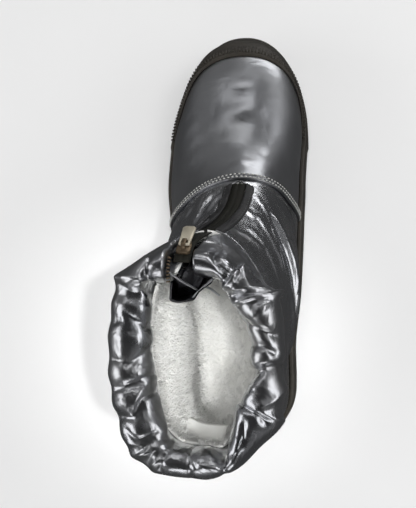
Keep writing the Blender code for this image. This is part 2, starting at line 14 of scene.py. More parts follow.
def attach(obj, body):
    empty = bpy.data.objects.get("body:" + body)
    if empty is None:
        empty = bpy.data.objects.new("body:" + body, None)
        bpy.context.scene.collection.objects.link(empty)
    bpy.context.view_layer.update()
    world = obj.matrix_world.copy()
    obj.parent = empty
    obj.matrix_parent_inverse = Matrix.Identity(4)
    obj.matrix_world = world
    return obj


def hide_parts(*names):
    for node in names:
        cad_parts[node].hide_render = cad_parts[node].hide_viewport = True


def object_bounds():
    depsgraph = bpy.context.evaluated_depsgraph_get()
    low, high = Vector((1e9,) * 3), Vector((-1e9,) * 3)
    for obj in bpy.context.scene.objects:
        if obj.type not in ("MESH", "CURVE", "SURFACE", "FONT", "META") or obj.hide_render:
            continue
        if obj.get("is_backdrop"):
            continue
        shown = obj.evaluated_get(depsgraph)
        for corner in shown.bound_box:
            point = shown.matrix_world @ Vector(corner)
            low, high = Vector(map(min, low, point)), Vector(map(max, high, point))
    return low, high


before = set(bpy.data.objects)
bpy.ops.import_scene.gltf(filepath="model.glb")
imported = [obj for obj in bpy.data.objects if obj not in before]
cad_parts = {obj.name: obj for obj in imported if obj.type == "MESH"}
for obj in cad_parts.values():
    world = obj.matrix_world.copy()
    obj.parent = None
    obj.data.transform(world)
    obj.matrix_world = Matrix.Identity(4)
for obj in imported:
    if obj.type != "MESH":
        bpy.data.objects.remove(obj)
CAD_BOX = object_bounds()

MM = 0.001
SIDES = {"outer": 1.0, "inner": -1.0}

# Sole
SOLE_LENGTH = 274.5
HEEL_REACH = 36.0
HEEL_POWER = 2.3
TOE_REACH = 75.0
TOE_POWER = 2.2
LIP_HEIGHT = 8.0
LIP_INSIDE = 4.0
GUARD_START = 200.0
GUARD_STEP = 0.7
GROOVE_WIDTH = 4.6
GROOVE_DEPTH = 4.0
GROOVE_POINT = 9.0
GROOVES = (22.0, 38.0, 54.0, 70.0, 136.0, 152.0, 168.0, 184.0, 200.0, 216.0, 232.0, 247.0)
CHANNEL_WIDTH = 5.0
CHANNEL_DEPTH = 3.0
CUT_FROM = -3.0
CUT_REACH = 70.0
CHANNELS = ((14.0, 78.0), (131.0, 212.0))

# Upper
UPPER_INSET = 5.3
UPPER_WALL = 3.0
GAP = 0.3
SHAFT_POWERS = (2.35, 1.78)
SHAFT_BLEND = (60.0, 106.0)
RIM_Z = 142.0
LIP_LEVEL = 0.065
DOME_TOP = 110.0
BEHIND_RISE = 4.0

# Toe guard, instep seam and zip
GUARD_TOP_Z = 27.4
GUARD_SLOPE = 0.53
GUARD_ENDS = 204.5
SEAM_FRONT_X = 166.0
SEAM_LOW_X = {"outer": 143.5, "inner": 148.0}
SEAM_BEND = {"outer": 1.25, "inner": 1.0}
SEAM_STEPS = 150
SLOT_HALF = 4.6


class Curve:
    """A smooth line through a table's rows that doesn't swing past them."""

    def __init__(self, at, values):
        self.at = np.array(at, float)
        self.values = np.array(values, float)
        rises = np.diff(self.values) / np.diff(self.at)
        before, after = rises[:-1], rises[1:]
        total = np.where(before * after > 0, before + after, 1.0)
        inner = np.where(before * after > 0, 2 * before * after / total, 0.0)
        self.slopes = np.concatenate([rises[:1], inner, rises[-1:]])

    def __call__(self, place_at):
        place_at = np.clip(place_at, self.at[0], self.at[-1])
        row = np.clip(np.searchsorted(self.at, place_at, side="right") - 1, 0, len(self.at) - 2)
        step = self.at[row + 1] - self.at[row]
        t = (place_at - self.at[row]) / step
        value = (1 + 2 * t) * (1 - t) ** 2 * self.values[row]
        value = value + t * (1 - t) ** 2 * step * self.slopes[row]
        value = value + t * t * (3 - 2 * t) * self.values[row + 1]
        return value - t * t * (1 - t) * step * self.slopes[row + 1]


def curves(columns, rows):
    """A curve for each column after the first, along the first."""
    lists = list(zip(*rows))
    return {name: Curve(lists[0], values) for name, values in zip(columns[1:], lists[1:])}


def along(columns, rows):
    """The same rows as curves along their own length, from 0 to 1, in the x-z plane."""
    table = np.array(rows, float)
    plane = table[:, [columns.index("x"), columns.index("z")]]
    steps = np.linalg.norm(np.diff(plane, axis=0), axis=1)
    shares = np.concatenate([[0.0], np.cumsum(steps)]) / steps.sum()
    return {name: Curve(shares, table[:, column]) for column, name in enumerate(columns)}


OUTLINE = curves(
    ("x", "middle", "half"),
    [
        (0, 0.0, 37.8),
        (40, 0.2, 38.0),
        (62, 1.2, 38.6),
        (95, 1.7, 42.6),
        (130, 3.4, 46.2),
        (151, 4.0, 47.6),
        (172, 4.4, 48.9),
        (198, 2.9, 48.7),
        (208, 2.0, 48.0),
        (222, 0.2, 46.6),
        (238, -1.2, 45.4),
        (253, -1.8, 44.6),
        (SOLE_LENGTH, -2.2, 44.2),
    ],
)
SOLE = curves(
    ("x", "ground", "bed"),
    [
        (0, 2.5, 25.0),
        (12, 0.0, 25.0),
        (80, 0.0, 24.6),
        (104, 3.5, 22.8),
        (128, 0.0, 21.0),
        (205, 0.0, 18.6),
        (243, 4.0, 22.0),
        (SOLE_LENGTH, 11.0, 28.3),
    ],
)
# Side of the sole from the tread up: how far in from the outline, and how far above ground or bed.
SOLE_SIDE = [
    (2.2, "ground", 0.0),
    (1.3, "ground", 0.5),
    (0.7, "ground", 1.5),
    (0.2, "ground", 3.5),
    (0.0, "ground", 6.0),
    (0.0, "ground", 12.2),
    (0.25, "ground", 12.7),
    (1.4, "ground", 13.2),
    (1.5, "ground", 14.9),
    (0.5, "ground", 15.5),
    (0.3, "ground", 16.2),
    (0.6, "bed", 4.0),
    (0.9, "bed", 6.2),
    (1.3, "bed", 7.3),
    (2.0, "bed", 7.9),
    (2.6, "bed", LIP_HEIGHT),
    (3.6, "bed", 7.9),
    (4.4, "bed", 7.4),
    (UPPER_INSET - GAP, "bed", 6.4),
    (UPPER_INSET - GAP, "bed", 0.0),
]
FRONT_COLUMNS = ("x", "z", "y")
FRONT_ROWS = [
    (SOLE_LENGTH - UPPER_INSET, 27.6, -2.2),
    (SOLE_LENGTH - UPPER_INSET - 0.05, 36.8, -2.2),
    (266.9, 42.5, -2.2),
    (262.4, 49.0, -2.2),
    (254.6, 54.5, -2.3),
    (242.0, 59.5, -2.6),
    (225.0, 64.7, -3.2),
    (206.0, 71.2, -4.2),
    (186.0, 80.2, -5.2),
    (166.0, 93.5, -6.0),
    (149.0, 109.0, -4.0),
    (137.0, 125.0, 1.5),
    (130.0, RIM_Z, 6.5),
]
FRONT = along(FRONT_COLUMNS, FRONT_ROWS)
FRONT_LINE = np.stack([FRONT[name](np.linspace(1, 0, 2001)) for name in FRONT_COLUMNS])
DOME = curves(
    ("x", "power", "widest"),
    [
        (130, 2.0, 0.14),
        (150, 1.3, 0.17),
        (166, 1.2, 0.18),
        (190, 1.6, 0.21),
        (215, 2.3, 0.25),
        (245, 3.2, 0.3),
    ],
)
SHAFT = curves(
    ("z", "back_x", "back_y", "outer", "inner"),
    [
        (25, UPPER_INSET, 0.0, 36.0, 35.0),
        (34, UPPER_INSET, 0.0, 36.0, 35.0),
        (48, 4.4, 0.0, 36.0, 35.0),
        (72, 5.5, 0.4, 36.0, 35.0),
        (98, 8.5, 1.6, 36.5, 35.0),
        (122, 10.0, 3.0, 38.0, 35.5),
        (RIM_Z, 9.5, 4.0, 39.5, 36.5),
    ],
)
SWELL = curves(
    ("over", "inset"),
    [(0, UPPER_INSET), (8.8, UPPER_INSET), (18, 4.6), (32, 4.8), (60, 5.6)],
)
INNER_PUFF = 4.2
PUFF_X = (50.0, 82.0, 108.0, 150.0)
PUFF_Z = (36.0, 60.0, 86.0, 128.0)
LEVELS = curves(
    ("level", "back_z", "front"),
    [(0.0, 25.3, 0.0), (LIP_LEVEL, 34.0, 0.042), (1.0, RIM_Z, 1.0)],
)
ZIP = along(
    ("x", "z", "y"),
    [
        (162.4, 96.4, -5.8),
        (149.0, 109.0, -4.0),
        (137.0, 125.0, 1.5),
        (130.0, RIM_Z, 6.5),
        (126.0, 154.0, 10.4),
        (120.0, 166.0, 13.4),
        (111.0, 175.5, 14.2),
    ],
)
GUSSET = along(
    ("x", "z", "y", "open"),
    [
        (133.5, 118.0, 0.0, 0.25),
        (122.0, 136.0, 5.0, 0.45),
        (113.5, 150.0, 9.0, 0.7),
        (105.0, 161.0, 11.0, 0.9),
        (100.5, 173.0, 12.0, 1.0),
    ],
)
# Cuff round the top, from the zip by the outer side, back and inner side to the zip again: its outer and
# inner edge in plan, how far its roll stands over or under the usual height, and how far it is pinched.
CUFF = [
    (118.9, 21.4, 100.0, 21.0, -1.0, 0.0),
    (115.5, 32.0, 98.0, 31.0, -3.0, 2.2),
    (109.5, 40.5, 95.0, 31.0, 0.0, 0.0),
    (103.2, 48.5, 93.6, 30.6, -1.0, 0.0),
    (96.5, 48.8, 90.5, 31.5, -2.5, 1.6),
    (89.7, 50.1, 87.3, 30.9, -0.5, 0.0),
    (82.5, 50.2, 80.5, 31.5, -2.0, 1.2),
    (74.0, 51.4, 72.0, 30.6, 0.0, 0.0),
    (63.5, 50.6, 62.5, 31.4, -2.2, 1.4),
    (56.0, 50.9, 56.0, 30.0, 0.0, 0.0),
    (48.0, 49.2, 51.0, 29.2, -2.4, 1.6),
    (41.0, 48.6, 45.0, 26.6, 0.0, 0.0),
    (33.5, 46.2, 38.5, 25.4, -2.4, 1.6),
    (25.4, 44.5, 29.1, 20.7, -0.5, 0.0),
    (19.5, 41.6, 25.5, 20.0, -2.6, 1.8),
    (15.0, 39.6, 23.5, 18.5, -1.0, 0.0),
    (11.2, 33.4, 22.4, 17.2, -3.0, 2.0),
    (7.4, 28.0, 21.2, 14.0, -0.5, 0.0),
    (6.2, 19.0, 20.6, 10.8, 0.0, 0.0),
    (5.4, 10.4, 20.4, 7.5, -1.2, 0.8),
    (5.2, 2.0, 21.0, 1.8, 0.0, 0.0),
    (6.4, -6.7, 19.6, -5.3, -3.2, 2.4),
    (12.7, -15.4, 22.8, -8.4, -1.0, 0.0),
    (21.8, -23.4, 33.0, -10.8, -2.0, 1.4),
    (32.1, -33.7, 42.4, -12.0, -0.5, 0.0),
    (40.0, -34.0, 45.0, -14.6, -1.0, 0.4),
    (47.6, -34.5, 47.6, -17.3, -1.0, 0.0),
    (57.1, -33.0, 57.0, -21.0, -3.2, 2.0),
    (66.0, -34.6, 63.0, -20.4, -0.5, 0.0),
    (75.0, -33.6, 72.0, -20.2, -2.0, 1.2),
    (84.0, -34.0, 80.0, -18.0, 0.0, 0.0),
    (94.9, -31.6, 91.3, -10.0, -1.0, 0.0),
    (99.9, -24.6, 95.0, -7.6, -2.8, 1.8),
    (106.0, -18.4, 97.4, -6.8, -0.5, 0.0),
    (109.6, -13.6, 99.4, -5.6, -2.8, 2.0),
    (114.6, -6.6, 101.6, -2.6, 0.0, 0.0),
    (117.0, 1.0, 101.8, 1.4, 0.0, 0.0),
    (117.6, 8.2, 103.2, 8.4, 0.2, 0.0),
]
# Section of the cuff: share of the way from the upper's rim to the roll, mm outwards of a roll of the
# usual radius, height.
ROLL_RADIUS = 9.5
CUFF_SECTION = [
    (0.0, 1.5, RIM_Z + GAP),
    (0.25, 4.4, 150.0),
    (0.6, 8.2, 158.5),
    (1.0, 9.7, 168.0),
    (1.0, 7.2, 177.5),
    (1.0, 0.5, 183.0),
    (1.0, -6.0, 180.0),
    (1.0, -9.0, 171.0),
    (0.8, -7.8, 160.0),
    (0.4, -4.5, 150.0),
    (0.0, -1.5, RIM_Z + GAP),
]


def rounded(away, reach, power):
    """Share of the full breadth at a distance from a rounded end."""
    short = np.clip(1.0 - away / reach, 0.0, 1.0)
    return (1.0 - short**power) ** (1.0 / power)


def smoothstep(low, high, value):
    t = np.clip((value - low) / (high - low), 0.0, 1.0)
    return t * t * (3 - 2 * t)


def share(t):
    return (1 - np.cos(math.pi * t)) / 2


def sole_ring(inset, base, over, step, count):
    """Points once round the sole, from the heel by the outer side."""
    t = np.concatenate([np.linspace(0, 1, count + 1), np.linspace(1, 0, count + 1)[1:-1]])
    side = np.concatenate([np.ones(count + 1), -np.ones(count - 1)])
    behind = 1.0 - smoothstep(GUARD_START - 0.8, GUARD_START + 0.8, SOLE_LENGTH * share(t))
    at = inset + step * behind
    x = at + (SOLE_LENGTH - 2 * at) * share(t)
    heel = rounded(x - at, HEEL_REACH - at, HEEL_POWER)
    toe = rounded(SOLE_LENGTH - at - x, TOE_REACH - at, TOE_POWER)
    y = OUTLINE["middle"](x) + side * (OUTLINE["half"](x) - at) * heel * toe
    return np.stack([x, y, SOLE[base](x) + over], axis=1)


WIDEST = sole_ring(0.0, "bed", 0.0, GUARD_STEP, 400)
CENTRE = (WIDEST.min(axis=0) + WIDEST.max(axis=0)) / 2 * np.array([1.0, 1.0, 0.0])


def place(points):
    """Millimetres of the tables as metres of the row frame."""
    return (np.asarray(points, float) - CENTRE) * MM


def ring_ends(level):
    """Front and back of the upper's rings."""
    at = LEVELS["front"](level)
    front = np.stack([FRONT["x"](at), FRONT["y"](at), FRONT["z"](at)], axis=-1)
    back_z = LEVELS["back_z"](level)
    back = np.stack([SHAFT["back_x"](back_z), SHAFT["back_y"](back_z), back_z], axis=-1)
    return front, back


def oval(way):
    """Half breadth of the shaft's oval from back to front."""
    power = np.where(way < 0.5, *SHAFT_POWERS)
    return (1.0 - np.abs(2 * np.clip(way, 0, 1) - 1) ** power) ** (1.0 / power)


def puff(side, x, z):
    """How far the padding pushes the upper's side out over the sole's edge."""
    lengthwise = smoothstep(PUFF_X[0], PUFF_X[1], x) - smoothstep(PUFF_X[2], PUFF_X[3], x)
    upward = smoothstep(PUFF_Z[0], PUFF_Z[1], z) - smoothstep(PUFF_Z[2], PUFF_Z[3], z)
    return np.where(side < 0, INNER_PUFF, 0.0) * lengthwise * upward


def upper_at(side, t, level):
    """The upper's outer face: a dome over the foot that turns into the oval shaft."""
    side, t, level = np.broadcast_arrays(*(np.asarray(value, float) for value in (side, t, level)))
    front, back = ring_ends(level)
    way = share(t)
    x = back[..., 0] + (front[..., 0] - back[..., 0]) * way
    bed = SOLE["bed"](x)
    ends = SOLE["bed"](back[..., 0]), SOLE["bed"](front[..., 0])
    sag = bed - (ends[0] + (ends[1] - ends[0]) * way)
    z = back[..., 2] + (front[..., 2] - back[..., 2]) * way + sag * (1 - level) ** 3
    top = np.interp(x, FRONT_LINE[0], FRONT_LINE[1])
    top_y = np.interp(x, FRONT_LINE[0], FRONT_LINE[2])
    top = top + np.maximum(0.0, FRONT_ROWS[-1][0] - x) * BEHIND_RISE
    widest = bed + (np.minimum(top, DOME_TOP) - bed) * DOME["widest"](x)
    rise = np.clip((z - widest) / np.maximum(top - widest, 0.1), 0.0, 1.0)
    dome = np.sqrt(np.maximum(1.0 - rise ** DOME["power"](x), 0.0))
    heel = rounded(x - back[..., 0], HEEL_REACH - UPPER_INSET, HEEL_POWER)
    toe = rounded(SOLE_LENGTH - UPPER_INSET - x, TOE_REACH - UPPER_INSET, TOE_POWER)
    foot = (OUTLINE["half"](x) - SWELL["inset"](z - bed)) * heel * toe * dome
    foot_y = OUTLINE["middle"](x) + (top_y - OUTLINE["middle"](x)) * rise
    shaft = np.where(side > 0, SHAFT["outer"](z), SHAFT["inner"](z)) * oval(way)
    shaft_y = back[..., 1] + (front[..., 1] - back[..., 1]) * way
    turned = smoothstep(*SHAFT_BLEND, z)
    half = np.where((t <= 0.0) | (t >= 1.0), 0.0, foot + (shaft - foot) * turned + puff(side, x, z))
    return np.stack([x, foot_y + (shaft_y - foot_y) * turned + side * half, z], axis=-1)


def upper_normal(side, t, level):
    """Outward direction of the upper's outer face."""
    small = 0.002
    ahead = upper_at(side, np.minimum(t + small, 1 - 1e-5), level)
    ahead = ahead - upper_at(side, np.maximum(t - small, 1e-5), level)
    above = upper_at(side, t, np.minimum(level + small, 1.0))
    above = above - upper_at(side, t, np.maximum(level - small, 0.0))
    normal = np.cross(ahead, above) * -np.asarray(side, float)[..., None]
    return normal / np.maximum(np.linalg.norm(normal, axis=-1, keepdims=True), 1e-9)


def unit(vectors):
    return vectors / np.maximum(np.linalg.norm(vectors, axis=-1, keepdims=True), 1e-9)


def add_object(name, data):
    """An object in the scene for a mesh, a light or a camera."""
    made = bpy.data.objects.new(name, data)
    bpy.context.scene.collection.objects.link(made)
    return made


def new_object(name, mesh, material):
    """A smooth piece with its finish."""
    made = add_object(name, mesh)
    if material:
        mesh.materials.append(material)
    mesh.polygons.foreach_set("use_smooth", np.ones(len(mesh.polygons), bool))
    return made


def grid_mesh(name, grid, material, around=False, tube=False):
    """A mesh over rows and columns of points, closed round its columns or its rows if asked."""
    rows, columns = grid.shape[:2]
    index = np.arange(rows * columns).reshape(rows, columns)
    if around:
        index = np.concatenate([index, index[:, :1]], axis=1)
    if tube:
        index = np.concatenate([index, index[:1]], axis=0)
    corners = (index[:-1, :-1], index[:-1, 1:], index[1:, 1:], index[1:, :-1])
    faces = np.stack(corners, axis=-1).reshape(-1, 4)
    mesh = bpy.data.meshes.new(name)
    mesh.from_pydata(place(grid.reshape(-1, 3)).tolist(), [], faces.tolist())
    shape = bmesh.new()
    shape.from_mesh(mesh)
    bmesh.ops.remove_doubles(shape, verts=shape.verts, dist=1e-5)
    bmesh.ops.recalc_face_normals(shape, faces=shape.faces)
    shape.to_mesh(mesh)
    shape.free()
    return new_object(name, mesh, material)


def fill_ends(made):
    """Closes the open ends of a tube."""
    shape = bmesh.new()
    shape.from_mesh(made.data)
    bmesh.ops.holes_fill(shape, edges=[edge for edge in shape.edges if edge.is_boundary], sides=0)
    bmesh.ops.recalc_face_normals(shape, faces=shape.faces)
    shape.to_mesh(made.data)
    shape.free()
    return made


def bake(made):
    """Turns an object with modifiers into a plain mesh in its place."""
    bpy.context.view_layer.update()
    graph = bpy.context.evaluated_depsgraph_get()
    mesh = bpy.data.meshes.new_from_object(made.evaluated_get(graph), depsgraph=graph)
    made.modifiers.clear()
    made.data = mesh
    return made


def thicken(made, wall):
    """Gives a sheet its wall and leaves the plain mesh."""
    thick = made.modifiers.new("wall", "SOLIDIFY")
    thick.thickness = wall * MM
    thick.offset = -1.0
    return bake(made)


def read_points(made):
    """A mesh's points in the tables' millimetres."""
    points = np.empty(len(made.data.vertices) * 3, np.float32)
    made.data.vertices.foreach_get("co", points)
    return points.reshape(-1, 3) / MM + CENTRE


def face_towards(made, hub):
    """Turns a sheet's faces towards a place."""
    face = made.data.polygons[0]
    if np.array(face.normal) @ (np.array(face.center) - place(hub)) > 0:
        made.data.flip_normals()


def give(made, body, node_names=()):
    """Sets what a piece rides on and which solids it stands for."""
    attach(made, body)
    if node_names:
        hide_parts(*node_names)
    return made


# Shader nodes


def add_node(tree, kind, links=None, **settings):
    """A node with its settings and inputs, where an input is a value or another node's output."""
    made = tree.nodes.new(kind)
    for name, value in settings.items():
        setattr(made, name, value)
    for name, value in (links or {}).items():
        socket = made.inputs[name]
        if isinstance(value, bpy.types.NodeSocket):
            tree.links.new(value, socket)
        else:
            socket.default_value = value
    return made


def result(tree, kind, output, links=None, **settings):
    """One output of a new node."""
    return add_node(tree, kind, links, **settings).outputs[output]


def maths(tree, operation, *values):
    return result(tree, "ShaderNodeMath", 0, dict(enumerate(values)), operation=operation)


def vector_maths(tree, operation, *values):
    return result(tree, "ShaderNodeVectorMath", "Vector", dict(enumerate(values)), operation=operation)


def noise(tree, where, scale, detail, roughness=0.5, output="Fac"):
    links = {"Vector": where, "Scale": scale, "Detail": detail, "Roughness": roughness}
    return result(tree, "ShaderNodeTexNoise", output, links)


def ranged(tree, value, ends, **settings):
    """A value brought from one range to another."""
    return result(tree, "ShaderNodeMapRange", "Result", {"Value": value, **ends}, **settings)


def object_place(tree):
    return result(tree, "ShaderNodeTexCoord", "Object")


def add_sockets(tree, way, kinds):
    for name, kind in kinds.items():
        tree.interface.new_socket(name, in_out=way, socket_type=f"NodeSocket{kind}")


def end_group(tree, values):
    """Ends a group in named values."""
    put = tree.nodes.new("NodeGroupOutput")
    for name, value in values.items():
        tree.links.new(value, put.inputs[name])
    return tree


BEND_SCALE = 14.0
BEND_REACH = (0.06, 0.06, 0.06)
CREASE_SPREAD = 0.16
WEAVE_SCALE = 1400.0
RIPPLE_SCALE = 140.0
RIPPLE_STRETCH = (1.0, 0.22, 0.6)


def crinkle_group():
    """Soft creases, crosswise ripples and a fine weave of coated nylon, as a height."""
    tree = bpy.data.node_groups.new("coated nylon crinkle", "ShaderNodeTree")
    names = ("Crease Scale", "Crease Depth", "Weave Depth", "Ripple Depth")
    add_sockets(tree, "INPUT", dict.fromkeys(names, "Float"))
    add_sockets(tree, "OUTPUT", {"Height": "Float"})
    given = tree.nodes.new("NodeGroupInput").outputs
    where = object_place(tree)
    bent = noise(tree, where, BEND_SCALE, 2.0, output="Color")
    moved = vector_maths(tree, "MULTIPLY_ADD", bent, BEND_REACH, where)
    crease = noise(tree, moved, given["Crease Scale"], 3.0)
    folded = maths(tree, "ABSOLUTE", maths(tree, "SUBTRACT", crease, 0.5))
    mask = ranged(tree, folded, {"From Max": CREASE_SPREAD}, interpolation_type="SMOOTHSTEP")
    deep = maths(tree, "MULTIPLY", mask, given["Crease Depth"])
    weave = maths(tree, "MULTIPLY", noise(tree, where, WEAVE_SCALE, 1.0), given["Weave Depth"])
    ripple = noise(tree, vector_maths(tree, "MULTIPLY", moved, RIPPLE_STRETCH), RIPPLE_SCALE, 2.0)
    both = maths(tree, "MULTIPLY_ADD", ripple, given["Ripple Depth"], deep)
    return end_group(tree, {"Height": maths(tree, "ADD", both, weave)})


PATCH_SPREAD = {"From Min": 0.32, "From Max": 0.68}


def wear_group():
    """Slow patches of tone and shine that any used surface has."""
    tree = bpy.data.node_groups.new("uneven wear", "ShaderNodeTree")
    add_sockets(tree, "INPUT", dict.fromkeys(("Patch Scale", "Least Rough", "Most Rough"), "Float"))
    add_sockets(tree, "INPUT", dict.fromkeys(("Clean", "Worn"), "Color"))
    add_sockets(tree, "OUTPUT", {"Color": "Color", "Roughness": "Float"})
    given = tree.nodes.new("NodeGroupInput").outputs
    patch = noise(tree, object_place(tree), given["Patch Scale"], 5.0, 0.6)
    spread = ranged(tree, patch, PATCH_SPREAD)
    tones = {"Factor": spread, 6: given["Clean"], 7: given["Worn"]}
    tone = result(tree, "ShaderNodeMix", 2, tones, data_type="RGBA")
    rough = ranged(tree, spread, {"To Min": given["Least Rough"], "To Max": given["Most Rough"]})
    return end_group(tree, {"Color": tone, "Roughness": rough})


# Geometry nodes


def new_tree(name, inputs):
    """An empty geometry tree with named inputs, and what they give."""
    tree = bpy.data.node_groups.new(name, "GeometryNodeTree")
    for way in ("INPUT", "OUTPUT"):
        add_sockets(tree, way, {"Geometry": "Geometry"})
    add_sockets(tree, "INPUT", inputs)
    return tree, tree.nodes.new("NodeGroupInput").outputs


def end_tree(tree, geometry, material):
    """Ends a tree in plain geometry with its finish."""
    plain = result(tree, "GeometryNodeRealizeInstances", "Geometry", {"Geometry": geometry})
    smooth = result(tree, "GeometryNodeSetShadeSmooth", "Geometry", {"Geometry": plain})
    finish = {"Geometry": smooth, "Material": material}
    return end_group(tree, {"Geometry": result(tree, "GeometryNodeSetMaterial", "Geometry", finish)})


def named(tree, name, kind):
    """A mesh's own values under a name."""
    return result(tree, "GeometryNodeInputNamedAttribute", "Attribute", {"Name": name}, data_type=kind)


def grow(made, tree, values):
    """Runs a tree on an object with these inputs and leaves the plain mesh."""
    modifier = made.modifiers.new(tree.name, "NODES")
    modifier.node_group = tree
    for item in tree.interface.items_tree:
        if item.in_out == "INPUT" and item.name in values:
            modifier[item.identifier] = values[item.name]
    return bake(made)


def row_tree():
    """Small pieces set at even steps along a line: stitches, ribs or zip teeth."""
    inputs = {"Spacing": "Float", "Size": "Vector", "Boxy": "Bool", "Finish": "Material"}
    tree, given = new_tree("row of pieces", inputs)
    line = result(tree, "GeometryNodeMeshToCurve", "Curve", {"Mesh": given["Geometry"]})
    spaced = {"Curve": line, "Length": given["Spacing"]}
    steps = result(tree, "GeometryNodeResampleCurve", "Curve", spaced, mode="LENGTH")
    bead = result(tree, "GeometryNodeMeshUVSphere", "Mesh", {"Segments": 6, "Rings": 4, "Radius": 0.5})
    block = result(tree, "GeometryNodeMeshCube", "Mesh", {"Size": (1.0, 1.0, 1.0)})
    choice = {"Switch": given["Boxy"], "False": bead, "True": block}
    piece = result(tree, "GeometryNodeSwitch", "Output", choice, input_type="GEOMETRY")
    turn = "FunctionNodeAlignRotationToVector"
    upright = result(tree, turn, "Rotation", {"Vector": named(tree, "outward", "FLOAT_VECTOR")}, axis="Z")
    ahead = {"Rotation": upright, "Vector": result(tree, "GeometryNodeInputTangent", "Tangent")}
    aimed = result(tree, turn, "Rotation", ahead, axis="X", pivot_axis="Z")
    set_out = {"Points": steps, "Instance": piece, "Rotation": aimed, "Scale": given["Size"]}
    pieces = result(tree, "GeometryNodeInstanceOnPoints", "Instances", set_out)
    return end_tree(tree, pieces, given["Finish"])


UPWARD_FROM = 0.6
STRAND_LEAN = (0.9, 0.9, 3.1)
STRAND_SIZES = (0.55, 1.15)


def pile_tree():
    """Tufted cloth with short strands standing on it."""
    lengths = ("Strands Per Area", "Strand Length", "Strand Width", "Tuft Height", "Tuft Scale")
    inputs = {**dict.fromkeys(lengths, "Float"), "Everywhere": "Bool", "Seed": "Int", "Finish": "Material"}
    tree, given = new_tree("pile", inputs)
    normal = result(tree, "GeometryNodeInputNormal", "Normal")
    tufts = result(tree, "ShaderNodeTexNoise", "Fac", {"Scale": given["Tuft Scale"], "Detail": 2.0})
    high = maths(tree, "MULTIPLY", maths(tree, "SUBTRACT", tufts, 0.5), given["Tuft Height"])
    offset = result(tree, "ShaderNodeVectorMath", "Vector", {0: normal, "Scale": high}, operation="SCALE")
    moved = {"Geometry": given["Geometry"], "Offset": offset}
    base = result(tree, "GeometryNodeSetPosition", "Geometry", moved)
    height = result(tree, "ShaderNodeSeparateXYZ", "Z", {"Vector": normal})
    compare = {"data_type": "FLOAT", "operation": "GREATER_THAN"}
    upward = result(tree, "FunctionNodeCompare", "Result", {0: height, 1: UPWARD_FROM}, **compare)
    either = {0: upward, 1: given["Everywhere"]}
    chosen = result(tree, "FunctionNodeBooleanMath", "Boolean", either, operation="OR")
    density = maths(tree, "MULTIPLY", named(tree, "growth", "FLOAT"), given["Strands Per Area"])
    spread = {"Mesh": base, "Selection": chosen, "Density": density, "Seed": given["Seed"]}
    scatter = "GeometryNodeDistributePointsOnFaces"
    roots = add_node(tree, scatter, spread, distribute_method="RANDOM").outputs
    cone = {"Vertices": 3, "Radius Top": 0.0, "Radius Bottom": given["Strand Width"]}
    cone["Depth"] = given["Strand Length"]
    strand = result(tree, "GeometryNodeMeshCone", "Mesh", cone, fill_type="NONE")
    leans = {0: tuple(-angle for angle in STRAND_LEAN), 1: STRAND_LEAN, 8: given["Seed"]}
    lean = result(tree, "FunctionNodeRandomValue", 0, leans, data_type="FLOAT_VECTOR")
    leaning = result(tree, "FunctionNodeEulerToRotation", "Rotation", {"Euler": lean})
    rotations = {"Rotation": roots["Rotation"], "Rotate By": leaning}
    turned = result(tree, "FunctionNodeRotateRotation", "Rotation", rotations, rotation_space="LOCAL")
    sizes = {2: STRAND_SIZES[0], 3: STRAND_SIZES[1], 8: given["Seed"]}
    size = result(tree, "FunctionNodeRandomValue", 1, sizes, data_type="FLOAT")
    set_out = {"Points": roots["Points"], "Instance": strand, "Rotation": turned, "Scale": size}
    strands = result(tree, "GeometryNodeInstanceOnPoints", "Instances", set_out)
    joined = add_node(tree, "GeometryNodeJoinGeometry")
    for geometry in (base, strands):
        tree.links.new(geometry, joined.inputs["Geometry"])
    return end_tree(tree, joined.outputs["Geometry"], given["Finish"])


CRINKLE = crinkle_group()
WEAR = wear_group()
ROW = row_tree()
PILE_STRANDS = pile_tree()


def row_of(name, points, normals, spacing, size, material, boxy=False):
    """Stitches, ribs or teeth along a line on a surface, with sizes in mm along, across and out."""
    mesh = bpy.data.meshes.new(name)
    edges = [(step, step + 1) for step in range(len(points) - 1)]
    mesh.from_pydata(place(points).tolist(), edges, [])
    outward = mesh.attributes.new("outward", "FLOAT_VECTOR", "POINT")
    outward.data.foreach_set("vector", np.asarray(normals, np.float32).ravel())
    size = [edge * MM for edge in size]
    values = {"Spacing": spacing * MM, "Size": size, "Boxy": boxy, "Finish": material}
    return grow(add_object(name, mesh), ROW, values)


COAT_ROUGHNESS = 0.18


def surface(name, clean, worn, rough, patch_scale, metallic=0.0, coat=0.0, specular=0.5):
    """A material with the shared wear on its colour and roughness."""
    made = bpy.data.materials.new(name)
    made.use_nodes = True
    tree = made.node_tree
    inputs = tree.nodes["Principled BSDF"].inputs
    inputs["Metallic"].default_value = metallic
    inputs["Coat Weight"].default_value = coat
    inputs["Coat Roughness"].default_value = COAT_ROUGHNESS
    inputs["Specular IOR Level"].default_value = specular
    values = {"Patch Scale": patch_scale, "Clean": (*clean, 1.0), "Worn": (*worn, 1.0)}
    values.update({"Least Rough": rough[0], "Most Rough": rough[1]})
    wear = add_node(tree, "ShaderNodeGroup", values, node_tree=WEAR)
    tree.links.new(wear.outputs["Color"], inputs["Base Color"])
    tree.links.new(wear.outputs["Roughness"], inputs["Roughness"])
    return made


def bumped(made, height, distance):
    """Adds a height to a material as bump."""
    tree = made.node_tree
    bump = result(tree, "ShaderNodeBump", "Normal", {"Distance": distance, "Height": height})
    tree.links.new(bump, tree.nodes["Principled BSDF"].inputs["Normal"])


def crinkled(made, scale, depth, weave, ripple, distance):
    """Adds the shared nylon creases to a material."""
    values = {"Crease Scale": scale, "Crease Depth": depth, "Weave Depth": weave, "Ripple Depth": ripple}
    group = add_node(made.node_tree, "ShaderNodeGroup", values, node_tree=CRINKLE)
    bumped(made, group.outputs["Height"], distance)


